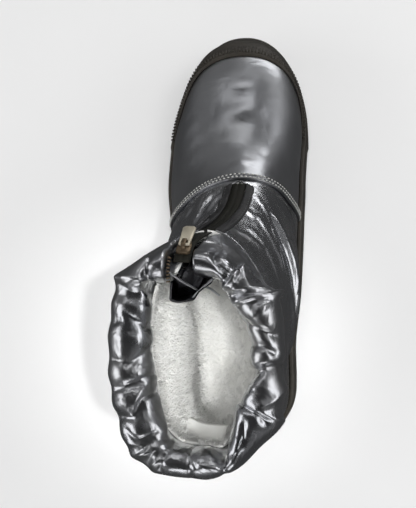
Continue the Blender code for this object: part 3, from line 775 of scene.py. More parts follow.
def grained(made, scale, distance):
    """Adds a moulded or woven grain to a material."""
    tree = made.node_tree
    bumped(made, noise(tree, object_place(tree), scale, 3.0), distance)


NYLON_TONE = (0.5, 0.51, 0.54)
NYLON = surface("vamp nylon", NYLON_TONE, (0.56, 0.57, 0.59), (0.31, 0.38), 18.0, 1.0, 0.1)
crinkled(NYLON, 26.0, 0.25, 0.05, 0.8, 0.0004)
QUARTER_NYLON = surface("quarter nylon", NYLON_TONE, (0.57, 0.575, 0.59), (0.22, 0.3), 26.0, 1.0, 0.1)
crinkled(QUARTER_NYLON, 44.0, 0.25, 0.05, 0.25, 0.0005)
CUFF_NYLON = surface("cuff nylon", NYLON_TONE, (0.58, 0.585, 0.6), (0.25, 0.33), 30.0, 1.0, 0.1)
crinkled(CUFF_NYLON, 58.0, 0.6, 0.05, 0.0, 0.0005)
DARK_NYLON = surface("gusset nylon", (0.1, 0.1, 0.11), (0.14, 0.14, 0.15), (0.2, 0.32), 40.0, 1.0, 0.1)
crinkled(DARK_NYLON, 60.0, 0.6, 0.2, 0.0, 0.0004)
SEAM_NYLON = surface("seam nylon", (0.28, 0.285, 0.3), (0.36, 0.365, 0.38), (0.34, 0.44), 60.0, 1.0, 0.1)
crinkled(SEAM_NYLON, 90.0, 0.5, 0.1, 0.0, 0.0003)
BAND_NYLON = surface("facing nylon", (0.035, 0.035, 0.036), (0.06, 0.06, 0.061), (0.42, 0.55), 60.0, 0.7)
crinkled(BAND_NYLON, 90.0, 0.4, 0.4, 0.0, 0.0003)
RUBBER = surface("moulded rubber", (0.026, 0.023, 0.019), (0.045, 0.04, 0.033), (0.45, 0.62), 60.0)
grained(RUBBER, 900.0, 0.00008)
TAPE_TONES = ((0.009, 0.009, 0.007), (0.015, 0.0145, 0.012))
TAPE = surface("coated zip tape", *TAPE_TONES, (0.55, 0.7), 90.0, specular=0.2)
grained(TAPE, 1600.0, 0.0001)
BRONZE = surface("slider bronze", (0.1, 0.075, 0.05), (0.2, 0.15, 0.1), (0.25, 0.4), 300.0, 0.8)
CHAMPAGNE = surface("tab plating", (0.56, 0.51, 0.41), (0.47, 0.43, 0.34), (0.3, 0.42), 200.0, 0.5)
THREAD = surface("stitch thread", (0.4, 0.4, 0.38), (0.55, 0.55, 0.52), (0.5, 0.7), 300.0)
DARK_THREAD = surface("dark thread", (0.05, 0.05, 0.052), (0.08, 0.08, 0.082), (0.5, 0.7), 300.0)
PILE = surface("white pile", (0.9, 0.9, 0.88), (0.84, 0.84, 0.81), (0.85, 0.95), 60.0, specular=0.2)
grained(PILE, 300.0, 0.0003)
LABEL = surface("blank tape", (0.93, 0.93, 0.9), (0.88, 0.88, 0.85), (0.6, 0.75), 120.0, specular=0.3)
grained(LABEL, 1500.0, 0.00008)


# Upper with its creases

UPPER_ROWS = 130
UPPER_HALF = 170
SHOULDER = 0.4
SHELL_WALL = 1.2
FACE_REACH = 12.0
END_FADE = 0.7
# Heights over the bed and under the rim within which the creases fade out.
LIP_FADE = (9.0, 20.0)
RIM_FADE = (9.0, 1.0)
# Creases of the upper: points along the crease on its face, half width, height of its ridge.
CREASES = [
    ([(158.0, 11.4, 92.4), (151.5, 14.6, 94.9), (145.7, 17.2, 96.5), (135.0, 22.9, 98.3)], 2.4, 2.2),
    ([(156.5, 3.8, 98.6), (150.3, 9.4, 100.3), (141.6, 16.2, 101.6)], 2.2, 1.2),
    ([(152.1, 1.9, 103.9), (144.4, 7.4, 109.2), (130.9, 11.5, 135.6)], 2.2, 1.3),
    ([(142.0, 5.0, 114.0), (135.8, 8.2, 124.0), (128.8, 11.2, 141.9)], 2.0, 0.9),
    ([(151.9, 23.2, 83.5), (146.5, 27.6, 81.4), (140.8, 30.9, 81.3)], 2.4, 1.0),
    ([(149.7, 29.4, 76.0), (145.1, 33.2, 73.4), (141.1, 35.9, 72.2)], 2.4, 0.8),
    ([(136.0, 27.0, 92.0), (120.0, 34.5, 96.0), (98.0, 38.5, 104.0)], 3.4, 1.2),
    ([(134.0, 33.0, 78.0), (112.0, 38.0, 80.0), (88.0, 38.0, 86.0)], 3.6, 1.0),
    ([(131.0, 21.0, 112.0), (115.0, 32.0, 120.0), (92.0, 38.5, 128.0)], 3.0, 1.2),
    (
        [
            (146.5, -23.5, 99.5),
            (135.2, -28.7, 99.4),
            (121.5, -34.4, 101.5),
            (106.0, -38.8, 101.6),
            (90.4, -39.8, 100.8),
            (72.6, -38.4, 100.0),
        ],
        2.0,
        2.6,
    ),
    ([(144.1, -10.9, 111.8), (141.9, -14.2, 112.6), (138.5, -17.5, 112.0)], 1.5, 0.4),
    ([(130.0, -7.0, 132.0), (127.9, -11.9, 128.3), (124.5, -16.9, 125.4), (119.0, -22.0, 122.0)], 1.7, 1.1),
    ([(120.5, -13.5, 136.5), (118.0, -16.5, 135.5), (114.5, -20.0, 134.5)], 1.5, 0.9),
    ([(154.2, -15.8, 99.6), (142.7, -22.7, 102.0), (126.5, -28.6, 108.7), (107.6, -33.2, 114.5)], 1.3, 0.4),
    ([(133.9, -12.3, 121.1), (124.4, -21.8, 120.1), (111.6, -28.2, 120.9), (98.8, -32.4, 120.5)], 1.3, 0.5),
    (
        [(145.2, -14.3, 108.4), (132.7, -23.4, 112.1), (118.5, -29.9, 113.1), (103.3, -34.8, 113.6)],
        1.3,
        0.45,
    ),
    ([(154.8, -26.6, 86.0), (146.9, -34.7, 65.4), (128.0, -40.0, 52.0)], 2.8, 0.7),
    ([(104.0, -35.0, 112.0), (80.1, -36.1, 108.0), (58.0, -35.1, 96.0)], 2.8, 1.2),
    ([(96.0, -36.0, 92.0), (74.0, -38.0, 84.0), (50.0, -36.0, 72.0)], 2.8, 1.1),
    ([(118.0, -38.0, 70.0), (96.0, -39.5, 58.0), (70.0, -37.5, 50.0)], 3.0, 1.0),
    ([(70.0, -35.0, 124.0), (46.0, -31.0, 112.0), (26.0, -22.0, 98.0)], 3.2, 1.2),
    ([(60.0, 37.0, 118.0), (38.0, 33.0, 104.0), (22.0, 24.0, 92.0)], 3.2, 1.2),
    ([(66.0, 36.5, 92.0), (44.0, 35.0, 78.0), (24.0, 27.0, 66.0)], 3.2, 1.0),
    ([(12.0, 14.0, 118.0), (8.6, 2.0, 108.0), (11.0, -14.0, 100.0)], 3.4, 1.0),
    ([(12.0, 16.0, 86.0), (6.8, 1.0, 78.0), (9.0, -15.0, 72.0)], 3.4, 0.8),
    ([(231.8, 6.4, 61.7), (229.7, -4.0, 63.3), (229.5, -17.5, 60.9)], 5.0, 0.5),
    ([(213.9, 12.7, 65.1), (209.2, -1.4, 69.9), (213.9, -19.5, 65.0)], 6.0, 0.7),
    ([(198.6, 7.6, 72.0), (197.1, -5.2, 74.8), (201.0, -19.8, 69.3)], 5.0, 0.5),
    ([(173.9, 2.7, 87.0), (174.4, -4.3, 87.4), (173.3, -10.9, 86.8)], 2.4, 0.3),
    ([(214.8, 19.1, 61.8), (207.2, 27.5, 57.9), (201.5, 36.8, 49.4)], 4.0, 0.16),
    ([(203.0, 18.0, 66.0), (196.0, 27.0, 61.0), (191.0, 37.0, 50.5)], 3.6, 0.16),
    ([(187.8, 20.7, 68.3), (184.0, 28.5, 62.0), (181.8, 37.3, 51.5)], 4.0, 0.2),
]
# Broad puffs of the padding: middle, radius, height.
PUFFS = [
    ((217.0, -9.0, 67.0), 14.0, 1.6),
    ((238.0, -16.0, 58.0), 15.0, 1.3),
    ((238.0, 4.0, 60.0), 15.0, 1.3),
    ((226.0, -8.0, 63.0), 20.0, 1.4),
    ((92.0, 38.0, 70.0), 26.0, 1.5),
    ((30.0, 24.0, 60.0), 22.0, 1.2),
]


def smooth_line(spots, count):
    """A smooth line through points or a table's rows, at even shares of its rows."""
    spots = np.array(spots)
    at = np.arange(len(spots))
    fine = np.linspace(0, len(spots) - 1, count)
    return np.stack([Curve(at, column)(fine) for column in spots.T], axis=1)


def face_lines():
    """The creases' lines, each laid on the nearest places of the upper's plain face."""
    steps = np.linspace(0.0, 1.0, 240)
    levels = np.linspace(0.03, 1.0, 160)[:, None]
    face = np.concatenate([upper_at(side, steps, levels).reshape(-1, 3) for side in SIDES.values()])
    lines = []
    for spots, _, _ in CREASES:
        line = smooth_line(spots, 60)
        low, high = line.min(axis=0) - FACE_REACH, line.max(axis=0) + FACE_REACH
        near = face[((face > low) & (face < high)).all(axis=1)]
        laid = near[np.linalg.norm(line[:, None] - near[None], axis=2).argmin(axis=1)]
        ends = np.pad(laid, ((2, 2), (0, 0)), mode="edge")
        lines.append(sum(ends[shift : shift + len(laid)] for shift in range(5)) / 5)
    return lines


CREASE_LINES = face_lines()


def relief(points):
    """How far creases and puffs lift the upper's face at each point."""
    flat = np.asarray(points, float).reshape(-1, 3)
    lift = np.zeros(len(flat))
    for line, (_, width, height) in zip(CREASE_LINES, CREASES):
        low, high = line.min(axis=0) - 4 * width, line.max(axis=0) + 4 * width
        near = np.nonzero(((flat > low) & (flat < high)).all(axis=1))[0]
        gaps = np.linalg.norm(flat[near, None] - line[None], axis=2)
        away = gaps.min(axis=1) / width
        fade = np.sin(math.pi * gaps.argmin(axis=1) / (len(line) - 1)) ** END_FADE
        lift[near] += height * fade * (np.exp(-(away**2)) - SHOULDER * np.exp(-((away - 2.0) ** 2)))
    for middle, radius, height in PUFFS:
        away = np.linalg.norm(flat - np.array(middle), axis=1) / radius
        lift += height * np.exp(-(away**2))
    over_lip = smoothstep(*LIP_FADE, flat[:, 2] - SOLE["bed"](flat[:, 0]))
    under_rim = 1.0 - smoothstep(RIM_Z - RIM_FADE[0], RIM_Z - RIM_FADE[1], flat[:, 2])
    return (lift * over_lip * under_rim).reshape(np.shape(points)[:-1])


def dressed_at(side, t, level):
    """The upper's face with its creases, and its plain outward direction."""
    side, t, level = np.broadcast_arrays(*(np.asarray(value, float) for value in (side, t, level)))
    points = upper_at(side, t, level)
    normals = upper_normal(side, t, level)
    return points + normals * relief(points)[..., None], normals


def slot_end(side, level):
    """The step at which a ring meets the edge of the zip's slot."""
    front, _ = ring_ends(level)
    if front[0] > ZIP["x"](0.0) + 0.5:
        return 1.0
    steps = np.linspace(0.6, 1.0, 800)
    away = np.abs(upper_at(side, steps, level)[:, 1] - front[1])
    return steps[np.nonzero(away >= SLOT_HALF)[0][-1]]


def make_upper():
    """The shell with its slot for the zip, in vamp nylon before the seam and quarter nylon behind it."""
    levels = np.concatenate([[0.0], np.linspace(0.03, 1.0, UPPER_ROWS)])
    sides, steps = [], []
    for level in levels:
        inner = np.linspace(slot_end(-1.0, level), 0.0, UPPER_HALF + 1)
        outer = np.linspace(0.0, slot_end(1.0, level), UPPER_HALF + 1)[1:]
        steps.append(np.concatenate([inner, outer]))
        sides.append(np.concatenate([-np.ones(len(inner)), np.ones(len(outer))]))
    grid, _ = dressed_at(np.array(sides), np.array(steps), np.array(levels)[:, None])
    meets = np.array(steps)[:, 0] >= 1.0
    grid[meets, 0] = (grid[meets, 0] + grid[meets, -1]) / 2
    grid[meets, -1] = grid[meets, 0]
    shell = grid_mesh("upper_shell", grid, NYLON)
    shell.data.materials.append(QUARTER_NYLON)
    seam, _ = seam_path(SEAM_STEPS)
    top = seam[SEAM_STEPS - 1]
    outer, inner = seam[:SEAM_STEPS], seam[: SEAM_STEPS - 2 : -1]
    for face in shell.data.polygons:
        middle = np.array(face.center) / MM + CENTRE
        line = outer if middle[1] > top[1] else inner
        before = middle[0] < np.interp(middle[2], line[:, 2], line[:, 0])
        face.material_index = 1 if before or middle[2] > top[2] else 0
    thicken(shell, SHELL_WALL)
    return give(shell, "boot", ["upper"])


def make_sole():
    """The moulded cup with its tread cut in."""
    rings = []
    for inset, base, over in SOLE_SIDE:
        step = GUARD_STEP if inset < LIP_INSIDE else 0.0
        rings.append(sole_ring(inset, base, over, step, 150))
    sole = grid_mesh("cup_sole", np.array(rings), RUBBER, around=True)
    fill_ends(sole)
    cutters = [groove_cutter(), channel_cutter()]
    for cutter in cutters:
        cutting = sole.modifiers.new("tread", "BOOLEAN")
        cutting.operation = "DIFFERENCE"
        cutting.solver = "EXACT"
        cutting.object = cutter
    bake(sole)
    for cutter in cutters:
        bpy.data.objects.remove(cutter)
    return give(sole, "boot", ["sole"])


def bars(name, plans):
    """Upright bars over closed plans, each with its top height."""
    shape = bmesh.new()
    for plan, top in plans:
        low = [shape.verts.new(place((x, y, CUT_FROM))) for x, y in plan]
        high = [shape.verts.new(place((x, y, top))) for x, y in plan]
        shape.faces.new(low)
        shape.faces.new(high)
        for row in range(len(plan)):
            after = (row + 1) % len(plan)
            shape.faces.new((low[row], low[after], high[after], high[row]))
    bmesh.ops.recalc_face_normals(shape, faces=shape.faces)
    mesh = bpy.data.meshes.new(name)
    shape.to_mesh(mesh)
    shape.free()
    return new_object(name, mesh, None)


def groove_cutter():
    plans = []
    for at in GROOVES:
        top = float(SOLE["ground"](at + GROOVE_POINT / 2)) + GROOVE_DEPTH
        plan = [(at, -CUT_REACH), (at + GROOVE_POINT, 0.0), (at, CUT_REACH)]
        plans.append((plan + [(x + GROOVE_WIDTH, y) for x, y in reversed(plan)], top))
    return bars("groove_cutter", plans)


def channel_cutter():
    half = CHANNEL_WIDTH / 2
    plans = []
    for start, end in CHANNELS:
        plans.append(([(start, -half), (end, -half), (end, half), (start, half)], CHANNEL_DEPTH))
    return bars("channel_cutter", plans)


def level_where(side, t, reached):
    """The level at which a point of the upper first passes a test."""
    low, high = 0.0, 1.0
    for _ in range(30):
        middle = (low + high) / 2
        if reached(upper_at(side, t, middle)):
            high = middle
        else:
            low = middle
    return high


# Section of the toe guard: share of its height, mm out of the upper.
GUARD_SECTION = [
    (0.0, 0.7),
    (0.0, 2.3),
    (0.05, 2.6),
    (0.5, 2.6),
    (0.86, 2.5),
    (0.95, 2.2),
    (1.0, 1.5),
    (1.0, 0.7),
]
GUARD_CLEAR = 0.5


def over_lip(point):
    return point[2] > SOLE["bed"](point[0]) + LIP_HEIGHT + GUARD_CLEAR


def over_guard(point):
    return point[2] > GUARD_TOP_Z + GUARD_SLOPE * (point[0] - GUARD_START)


def guard_lines():
    """Side, step, lowest and highest level of each place along the toe guard."""
    front, back = ring_ends(np.array(LIP_LEVEL))
    first = math.acos(1 - 2 * (GUARD_ENDS - back[0]) / (front[0] - back[0])) / math.pi
    lines = []
    for side in SIDES.values():
        steps = np.linspace(first, 1.0, 70)
        for t in steps if side > 0 else steps[-2::-1]:
            low = level_where(side, t, over_lip)
            lines.append((side, t, low, level_where(side, t, over_guard)))
    return lines


def make_toe_guard():
    grid = []
    for side, t, low, high in guard_lines():
        ring = []
        for way, out in GUARD_SECTION:
            level = np.array(low + (high - low) * way)
            ring.append(upper_at(side, t, level) + upper_normal(side, np.array(t), level) * out)
        grid.append(ring)
    guard = grid_mesh("toe_bumper", np.array(grid), RUBBER, around=True)
    fill_ends(guard)
    return give(guard, "boot", ["toe_guard"])


def seam_path(count):
    """Points and normals of the upper under the instep seam, from the outer to the inner side."""
    top_level = level_where(1.0, 1.0, lambda point: point[0] < SEAM_FRONT_X)
    points, normals = [], []
    for name, side in SIDES.items():
        way = np.linspace(0, 1, count)
        way = way if side > 0 else way[-2::-1]
        level = top_level - (top_level - LIP_LEVEL - 0.012) * (1 - way) ** 2
        climb = np.clip((level - LIP_LEVEL) / (top_level - LIP_LEVEL), 0, 1) ** SEAM_BEND[name]
        x = SEAM_LOW_X[name] + (SEAM_FRONT_X - SEAM_LOW_X[name]) * climb
        front, back = ring_ends(level)
        cosine = np.clip(1 - 2 * (x - back[:, 0]) / (front[:, 0] - back[:, 0]), -1.0, 1.0)
        t = np.arccos(cosine) / math.pi
        face, outward = dressed_at(side, t, level)
        points.append(face)
        normals.append(outward)
    return np.concatenate(points), np.concatenate(normals)


def ribbon(name, points, normals, shape, material):
    """A closed section, mm across and out, carried along a line on a surface."""
    ahead = np.gradient(points, axis=0)
    across = unit(np.cross(normals, ahead))
    grid = [[p + a * x + n * z for x, z in shape] for p, a, n in zip(points, across, normals)]
    return fill_ends(grid_mesh(name, np.array(grid), material, around=True))


# Section of the seam, and of the tape further down: mm across, mm out of the boot.
SEAM_SECTION = [
    (-2.6, 0.2),
    (2.6, 0.2),
    (2.55, 0.9),
    (2.2, 1.35),
    (1.2, 1.5),
    (0.4, 1.25),
    (0.0, 0.95),
    (-0.4, 1.25),
    (-1.2, 1.6),
    (-2.2, 1.4),
    (-2.55, 0.9),
]


def make_instep_seam():
    points, normals = seam_path(SEAM_STEPS)
    seam = ribbon("instep_seam", points, normals, SEAM_SECTION, SEAM_NYLON)
    return give(seam, "boot", ["vamp_seam"])


def zip_frame(path, at):
    """Place on a path with the directions up it, across it and out of the boot."""
    small = 0.004
    low, high = max(at - small, 0.0), min(at + small, 1.0)
    spot = np.array([path[name](at) for name in "xyz"])
    up = unit(np.array([path[name](high) - path[name](low) for name in "xyz"]))
    across = np.array([0.0, 1.0, 0.0])
    across = unit(across - up * (across @ up))
    return spot, up, across, np.cross(across, up)


TAPE_SECTION = [
    (-4.3, -1.6),
    (4.3, -1.6),
    (4.3, -1.0),
    (0.3, -0.92),
    (0.0, -1.1),
    (-0.3, -0.92),
    (-4.3, -1.0),
]


def make_zip_tape():
    grid = []
    for at in np.linspace(0, 1, 120):
        spot, _, across, out = zip_frame(ZIP, at)
        grid.append([spot + across * a + out * b for a, b in TAPE_SECTION])
    tape = fill_ends(grid_mesh("zip_strip", np.array(grid), TAPE, around=True))
    return give(tape, "boot", ["zip_tape"])


def beside_zip(side, last, reaches):
    """Places and outward directions on the upper at distances from the zip's middle, level by level."""
    first = level_where(1.0, 1.0, lambda point: point[0] < ZIP["x"](0.0))
    steps = np.linspace(0.5, 1.0, 1200)
    for level in np.linspace(first, last, 70):
        front, _ = ring_ends(level)
        away = np.abs(upper_at(side, steps, level)[:, 1] - front[1])
        yield [dressed_at(side, steps[np.nonzero(away >= reach)[0][-1]], level) for reach in reaches]


# Section of the facings: mm from the zip's middle, mm out of the upper.
BAND_SECTION = ((4.3, -0.9), (4.35, 0.5), (4.7, 0.75), (8.5, 0.75), (8.9, 0.5), (9.0, -0.4))


def make_zip_bands():
    """The stitched facings on both sides of the zip."""
    reaches, outs = zip(*BAND_SECTION)
    for name, side in SIDES.items():
        grid = []
        for spots in beside_zip(side, 0.998, reaches):
            grid.append([face + outward * out for (face, outward), out in zip(spots, outs)])
        band = fill_ends(grid_mesh(f"zip_band_{name}", np.array(grid), BAND_NYLON, around=True))
        give(band, "boot")


# Cuff


CUFF_STEP = 5
CUFF_ROUND = 44
CUT_LONGER = 1.04
PAD_PRESSURE = 3.5
CLOTH_SCALE = 4.0
CLOTH_FRAMES = 24
FARTHEST_MOVE = 6.0
CALM_STEPS = 3
SEWN_ROWS = [0, 1, -2, -1]
EASE_PASSES = 6
WRINKLE_SHARE = 0.3
FOLD_SHARPNESS = 1.25
FOLD_HEIGHTS = (150.0, 166.0)
PINCH_SHARE = 0.2
RISE_SHARE = 0.5
CUFF_HUB = np.array([64.0, 8.0])
CUFF_OPEN = 0.11
DRAWN_HEIGHT = 0.7
# Rows of the cuff's table where the drawcord pulls it in hardest.
DRAWN_IN = (2, 14, 17, 21, 23, 27, 32, 34)
# Folds of the cuff seen from above: points from one edge of the roll to the other, half width, height.
CUFF_FOLDS = [
    ([(114.5, 29.5), (107.5, 31.0), (98.0, 29.5)], 1.5, -2.4),
    ([(102.5, 46.5), (102.0, 37.5), (101.0, 30.5)], 1.8, 1.8),
    ([(98.5, 44.0), (94.5, 36.0), (96.5, 29.5)], 2.6, -1.5),
    ([(80.5, 47.5), (81.5, 43.5)], 1.3, -1.0),
    ([(85.0, 40.5), (82.0, 36.0), (78.0, 29.0)], 1.6, -1.0),
    ([(62.5, 47.5), (62.0, 42.5)], 1.3, -1.1),
    ([(60.5, 39.5), (63.0, 35.0), (68.0, 29.5)], 1.6, -1.2),
    ([(48.5, 45.5), (50.0, 40.0), (55.5, 28.0)], 1.6, -1.1),
    ([(54.5, 28.0), (46.5, 33.5), (36.5, 36.0)], 1.6, 1.1),
    ([(34.5, 43.5), (35.0, 37.5), (44.5, 31.0), (48.0, 25.0)], 2.2, -2.4),
    ([(28.5, 40.0), (25.0, 33.5), (29.0, 24.5)], 1.8, -1.6),
    ([(23.0, 38.5), (22.5, 29.5)], 1.4, 1.1),
    ([(22.5, 29.5), (17.0, 36.0)], 1.5, -1.5),
    ([(17.0, 36.0), (20.0, 26.0)], 1.4, 1.1),
    ([(19.5, 26.0), (11.0, 29.5)], 1.5, -1.5),
    ([(11.5, 29.5), (16.5, 21.5)], 1.6, 1.3),
    ([(17.5, 21.0), (11.0, 23.0)], 1.6, -1.8),
    ([(22.0, 8.5), (7.5, 8.5)], 0.9, -0.9),
    ([(9.5, -7.5), (13.5, -4.0), (14.5, 3.0)], 1.6, 1.4),
    ([(21.5, -6.0), (16.0, -7.0), (8.0, -8.0)], 2.0, -3.0),
    ([(9.5, -8.0), (16.5, -12.5), (22.0, -14.0)], 1.6, 1.2),
    ([(33.5, -16.5), (27.0, -17.0), (19.5, -12.5)], 1.6, -1.8),
    ([(43.5, -13.0), (40.5, -19.0), (38.5, -24.0), (35.0, -27.5)], 2.0, -2.6),
    ([(40.5, -22.5), (37.5, -28.5), (34.0, -34.5)], 1.8, 1.8),
    ([(42.5, -25.5), (44.5, -30.0), (49.5, -35.5)], 2.0, 1.6),
    ([(57.0, -20.0), (59.0, -27.5), (60.0, -34.5)], 2.2, -3.2),
    ([(70.5, -19.5), (70.0, -26.0), (67.0, -32.0)], 1.8, -1.8),
    ([(80.0, -18.0), (77.0, -25.5), (75.0, -32.0)], 1.8, -1.8),
    ([(95.0, -32.5), (93.5, -22.5), (90.5, -12.5)], 1.5, 1.8),
    ([(95.0, -32.5), (97.0, -24.0), (97.0, -12.5)], 1.5, 1.4),
    ([(95.0, -32.5), (89.5, -27.0), (84.5, -22.0)], 1.6, 1.6),
    ([(92.0, -29.0), (91.0, -21.5), (88.5, -13.5)], 1.5, -1.6),
    ([(95.5, -30.0), (95.3, -21.0), (94.0, -11.5)], 1.4, -1.8),
    ([(108.0, -15.5), (102.5, -16.5), (99.5, -18.0)], 1.5, 1.6),
    ([(107.0, -15.0), (100.5, -10.0), (98.0, -7.5)], 1.5, 1.5),
    ([(108.5, -13.5), (104.5, -15.5), (101.0, -14.0)], 1.4, -1.8),
    ([(114.5, -2.5), (106.5, -5.5), (102.5, -8.5)], 1.7, -2.4),
]


def cuff_sections(per_step, count):
    """Sections of the cuff's roll round the top."""
    mixed = smooth_line(CUFF, (len(CUFF) - 1) * per_step + 1)
    outer, inner = mixed[:, 0:2], mixed[:, 2:4]
    middle = (outer + inner) / 2
    half = np.linalg.norm(outer - inner, axis=1) / 2 - PINCH_SHARE * mixed[:, 5]
    top = mixed[:, 4] * RISE_SHARE
    rim_t = np.linspace(0, 1, 1500)
    rim = np.concatenate([upper_at(1.0, rim_t[::-1], 1.0), upper_at(-1.0, rim_t[1:], 1.0)])
    turn, wanted = (np.unwrap(np.arctan2(*(line[:, 1::-1] - CUFF_HUB[::-1]).T)) for line in (rim, middle))
    low, high = turn.min() + CUFF_OPEN, turn.max() - CUFF_OPEN
    wanted = low + (wanted - wanted.min()) / (wanted.max() - wanted.min()) * (high - low)
    order = np.argsort(turn)
    rim_points = np.stack([np.interp(wanted, turn[order], rim[order, axis]) for axis in range(2)], axis=1)
    out = unit(outer - inner)
    rim_points = rim_points - unit(rim_points - CUFF_HUB) * UPPER_WALL / 2
    sections = []
    for toward, outward, z in CUFF_SECTION:
        centre = rim_points + (middle - rim_points) * toward
        reach = outward / ROLL_RADIUS * (ROLL_RADIUS + (half - ROLL_RADIUS) * toward)
        plan = centre + out * reach[:, None]
        height = z + top * toward
        sections.append(np.concatenate([plan, height[:, None]], axis=1))
    return np.stack([smooth_line(section, count) for section in np.stack(sections, axis=1)])


def ease(moved):
    """Keeps the padding's puff and lowers its small wrinkles, with the sewn rows left still."""
    eased = moved.copy()
    for _ in range(EASE_PASSES):
        longer = np.concatenate([eased[:1], eased, eased[-1:]])
        eased = (longer[:-2] + 2 * eased + longer[2:]) / 4
        eased = (np.roll(eased, 1, axis=1) + 2 * eased + np.roll(eased, -1, axis=1)) / 4
    eased = eased + (moved - eased) * WRINKLE_SHARE
    eased[:, SEWN_ROWS] = moved[:, SEWN_ROWS]
    return eased


def gather(grid):
    """Puffs the roll as padded cloth that is cut longer than the ring it is sewn and drawn into."""
    columns, count = grid.shape[:2]
    hub = grid.reshape(-1, 3).mean(axis=0)
    middle = grid.mean(axis=1, keepdims=True)
    cut = grid + (middle - hub) * np.array([CUT_LONGER - 1, CUT_LONGER - 1, 0.0])
    index = np.arange(columns * count).reshape(columns, count)
    after = np.roll(index, -1, axis=1)
    faces = np.stack((index[:-1], after[:-1], after[1:], index[1:]), axis=-1).reshape(-1, 4)
    mesh = bpy.data.meshes.new("cuff_cloth")
    mesh.from_pydata((grid.reshape(-1, 3) * MM * CLOTH_SCALE).tolist(), [], faces.tolist())
    cloth = new_object("cuff_cloth", mesh, None)
    fill_ends(cloth)
    cloth.shape_key_add(name="sewn")
    longer = cloth.shape_key_add(name="cut")
    longer.data.foreach_set("co", (cut.reshape(-1, 3) * MM * CLOTH_SCALE).ravel())
    held = cloth.vertex_groups.new(name="held")
    held.add(index[:, SEWN_ROWS].ravel().tolist(), 1.0, "REPLACE")
    held.add(index[[0, -1]].ravel().tolist(), 1.0, "REPLACE")
    drawn = int(count * DRAWN_HEIGHT)
    held.add(index[np.array(DRAWN_IN) * CUFF_STEP, drawn].tolist(), 1.0, "REPLACE")
    modifier = cloth.modifiers.new("gather", "CLOTH")
    settings = modifier.settings
    settings.rest_shape_key = longer
    settings.vertex_group_mass = "held"
    settings.quality = 6
    settings.mass = 0.1
    settings.tension_stiffness = 20.0
    settings.compression_stiffness = 20.0
    settings.shear_stiffness = 5.0
    settings.bending_stiffness = 0.05
    settings.use_pressure = True
    settings.uniform_pressure_force = PAD_PRESSURE
    settings.effector_weights.gravity = 0.0
    modifier.point_cache.frame_start = 1
    modifier.point_cache.frame_end = CLOTH_FRAMES
    for step in range(1, CLOTH_FRAMES + 1):
        bpy.context.scene.frame_set(step)
    graph = bpy.context.evaluated_depsgraph_get()
    found = np.empty(columns * count * 3, np.float32)
    cloth.evaluated_get(graph).data.vertices.foreach_get("co", found)
    bpy.data.objects.remove(cloth)
    bpy.context.scene.frame_set(1)
    moved = found.reshape(grid.shape) / (MM * CLOTH_SCALE) - grid
    far = np.linalg.norm(moved, axis=-1, keepdims=True)
    moved = moved * np.minimum(1.0, FARTHEST_MOVE / np.maximum(far, 1e-6))
    from_end = np.minimum(np.arange(columns), np.arange(columns)[::-1])
    calm = smoothstep(0.0, CALM_STEPS * CUFF_STEP, from_end)
    return grid + ease(moved) * calm[:, None, None]


def fold_depth(points):
    """How far the cuff's folds push its face out or in, read from above."""
    depth = np.zeros(len(points))
    plan = points[:, :2]
    for spots, width, height in CUFF_FOLDS:
        gaps = np.linalg.norm(plan[:, None] - smooth_line(spots, 40)[None], axis=2)
        away = gaps.min(axis=1) / width
        depth += height * np.exp(-(away**FOLD_SHARPNESS))
    return depth * smoothstep(*FOLD_HEIGHTS, points[:, 2])


def make_cuff(grid):
    """The padded roll with its folds pressed in."""
    cuff = grid_mesh("gathered_cuff", grid, CUFF_NYLON, around=True)
    fill_ends(cuff)
    smooth = cuff.modifiers.new("smooth", "SUBSURF")
    smooth.levels = 1
    smooth.render_levels = 1
    bake(cuff)
    points = read_points(cuff)
    normals = np.empty(points.size, np.float32)
    cuff.data.vertex_normals.foreach_get("vector", normals)
    points = points + normals.reshape(-1, 3) * fold_depth(points)[:, None]
    cuff.data.vertices.foreach_set("co", place(points).ravel())
    cuff.data.update()
    return give(cuff, "boot", ["cuff"])


# Inside


PILE_LINING = {
    "Strands Per Area": 1.6e6,
    "Strand Length": 4.6 * MM,
    "Strand Width": 0.2 * MM,
    "Tuft Height": 4.0 * MM,
    "Tuft Scale": 90.0,
    "Everywhere": True,
    "Seed": 4,
    "Finish": PILE,
}
PILE_INSOLE = {**PILE_LINING, "Strands Per Area": 2.4e6, "Tuft Height": 2.4 * MM, "Seed": 9}
PILE_INSOLE["Everywhere"] = False
PILE_COLLAR = {**PILE_LINING, "Strands Per Area": 1.9e6, "Tuft Height": 1.6 * MM, "Seed": 7}
PILE_COLLAR["Strand Length"] = 3.4 * MM
COLLAR_FROM = 0.8
COLLAR_PROUD = 0.3
LINING_DEPTH = UPPER_WALL + 2.2
BASIN_RADIUS = 11.0
INSOLE_TOP = 5.5
# The insole's rings: mm in from the sole's outline, mm over its bed.
INSOLE_RINGS = ((8.2, 0.4), (8.2, 4.0), (8.8, 5.0), (11.0, 5.5), (16.0, 5.5), (24.0, 5.3), (32.0, 5.2))
LINING_ROWS = 80
LINING_HALF = 90
LINING_END = 0.985
LIP_RISE = 6.0
LINING_INWARD = np.array([1.0, 1.0, 0.3])
BASIN_INWARD = np.array([1.0, 1.0, 0.0])
BASIN_SLOPE = 0.5
STRANDS_END = (112.0, 130.0)
# Blank tape inside the heel: its ends across, and its upper and lower edge.
LABEL_Y = (-1.0, 30.0)
LABEL_X = (16.0, 21.5)
LABEL_Z = (129.0, 109.0)
LABEL_BEND = 0.6
LABEL_CLEAR = 3.0
LABEL_WALL = 0.4


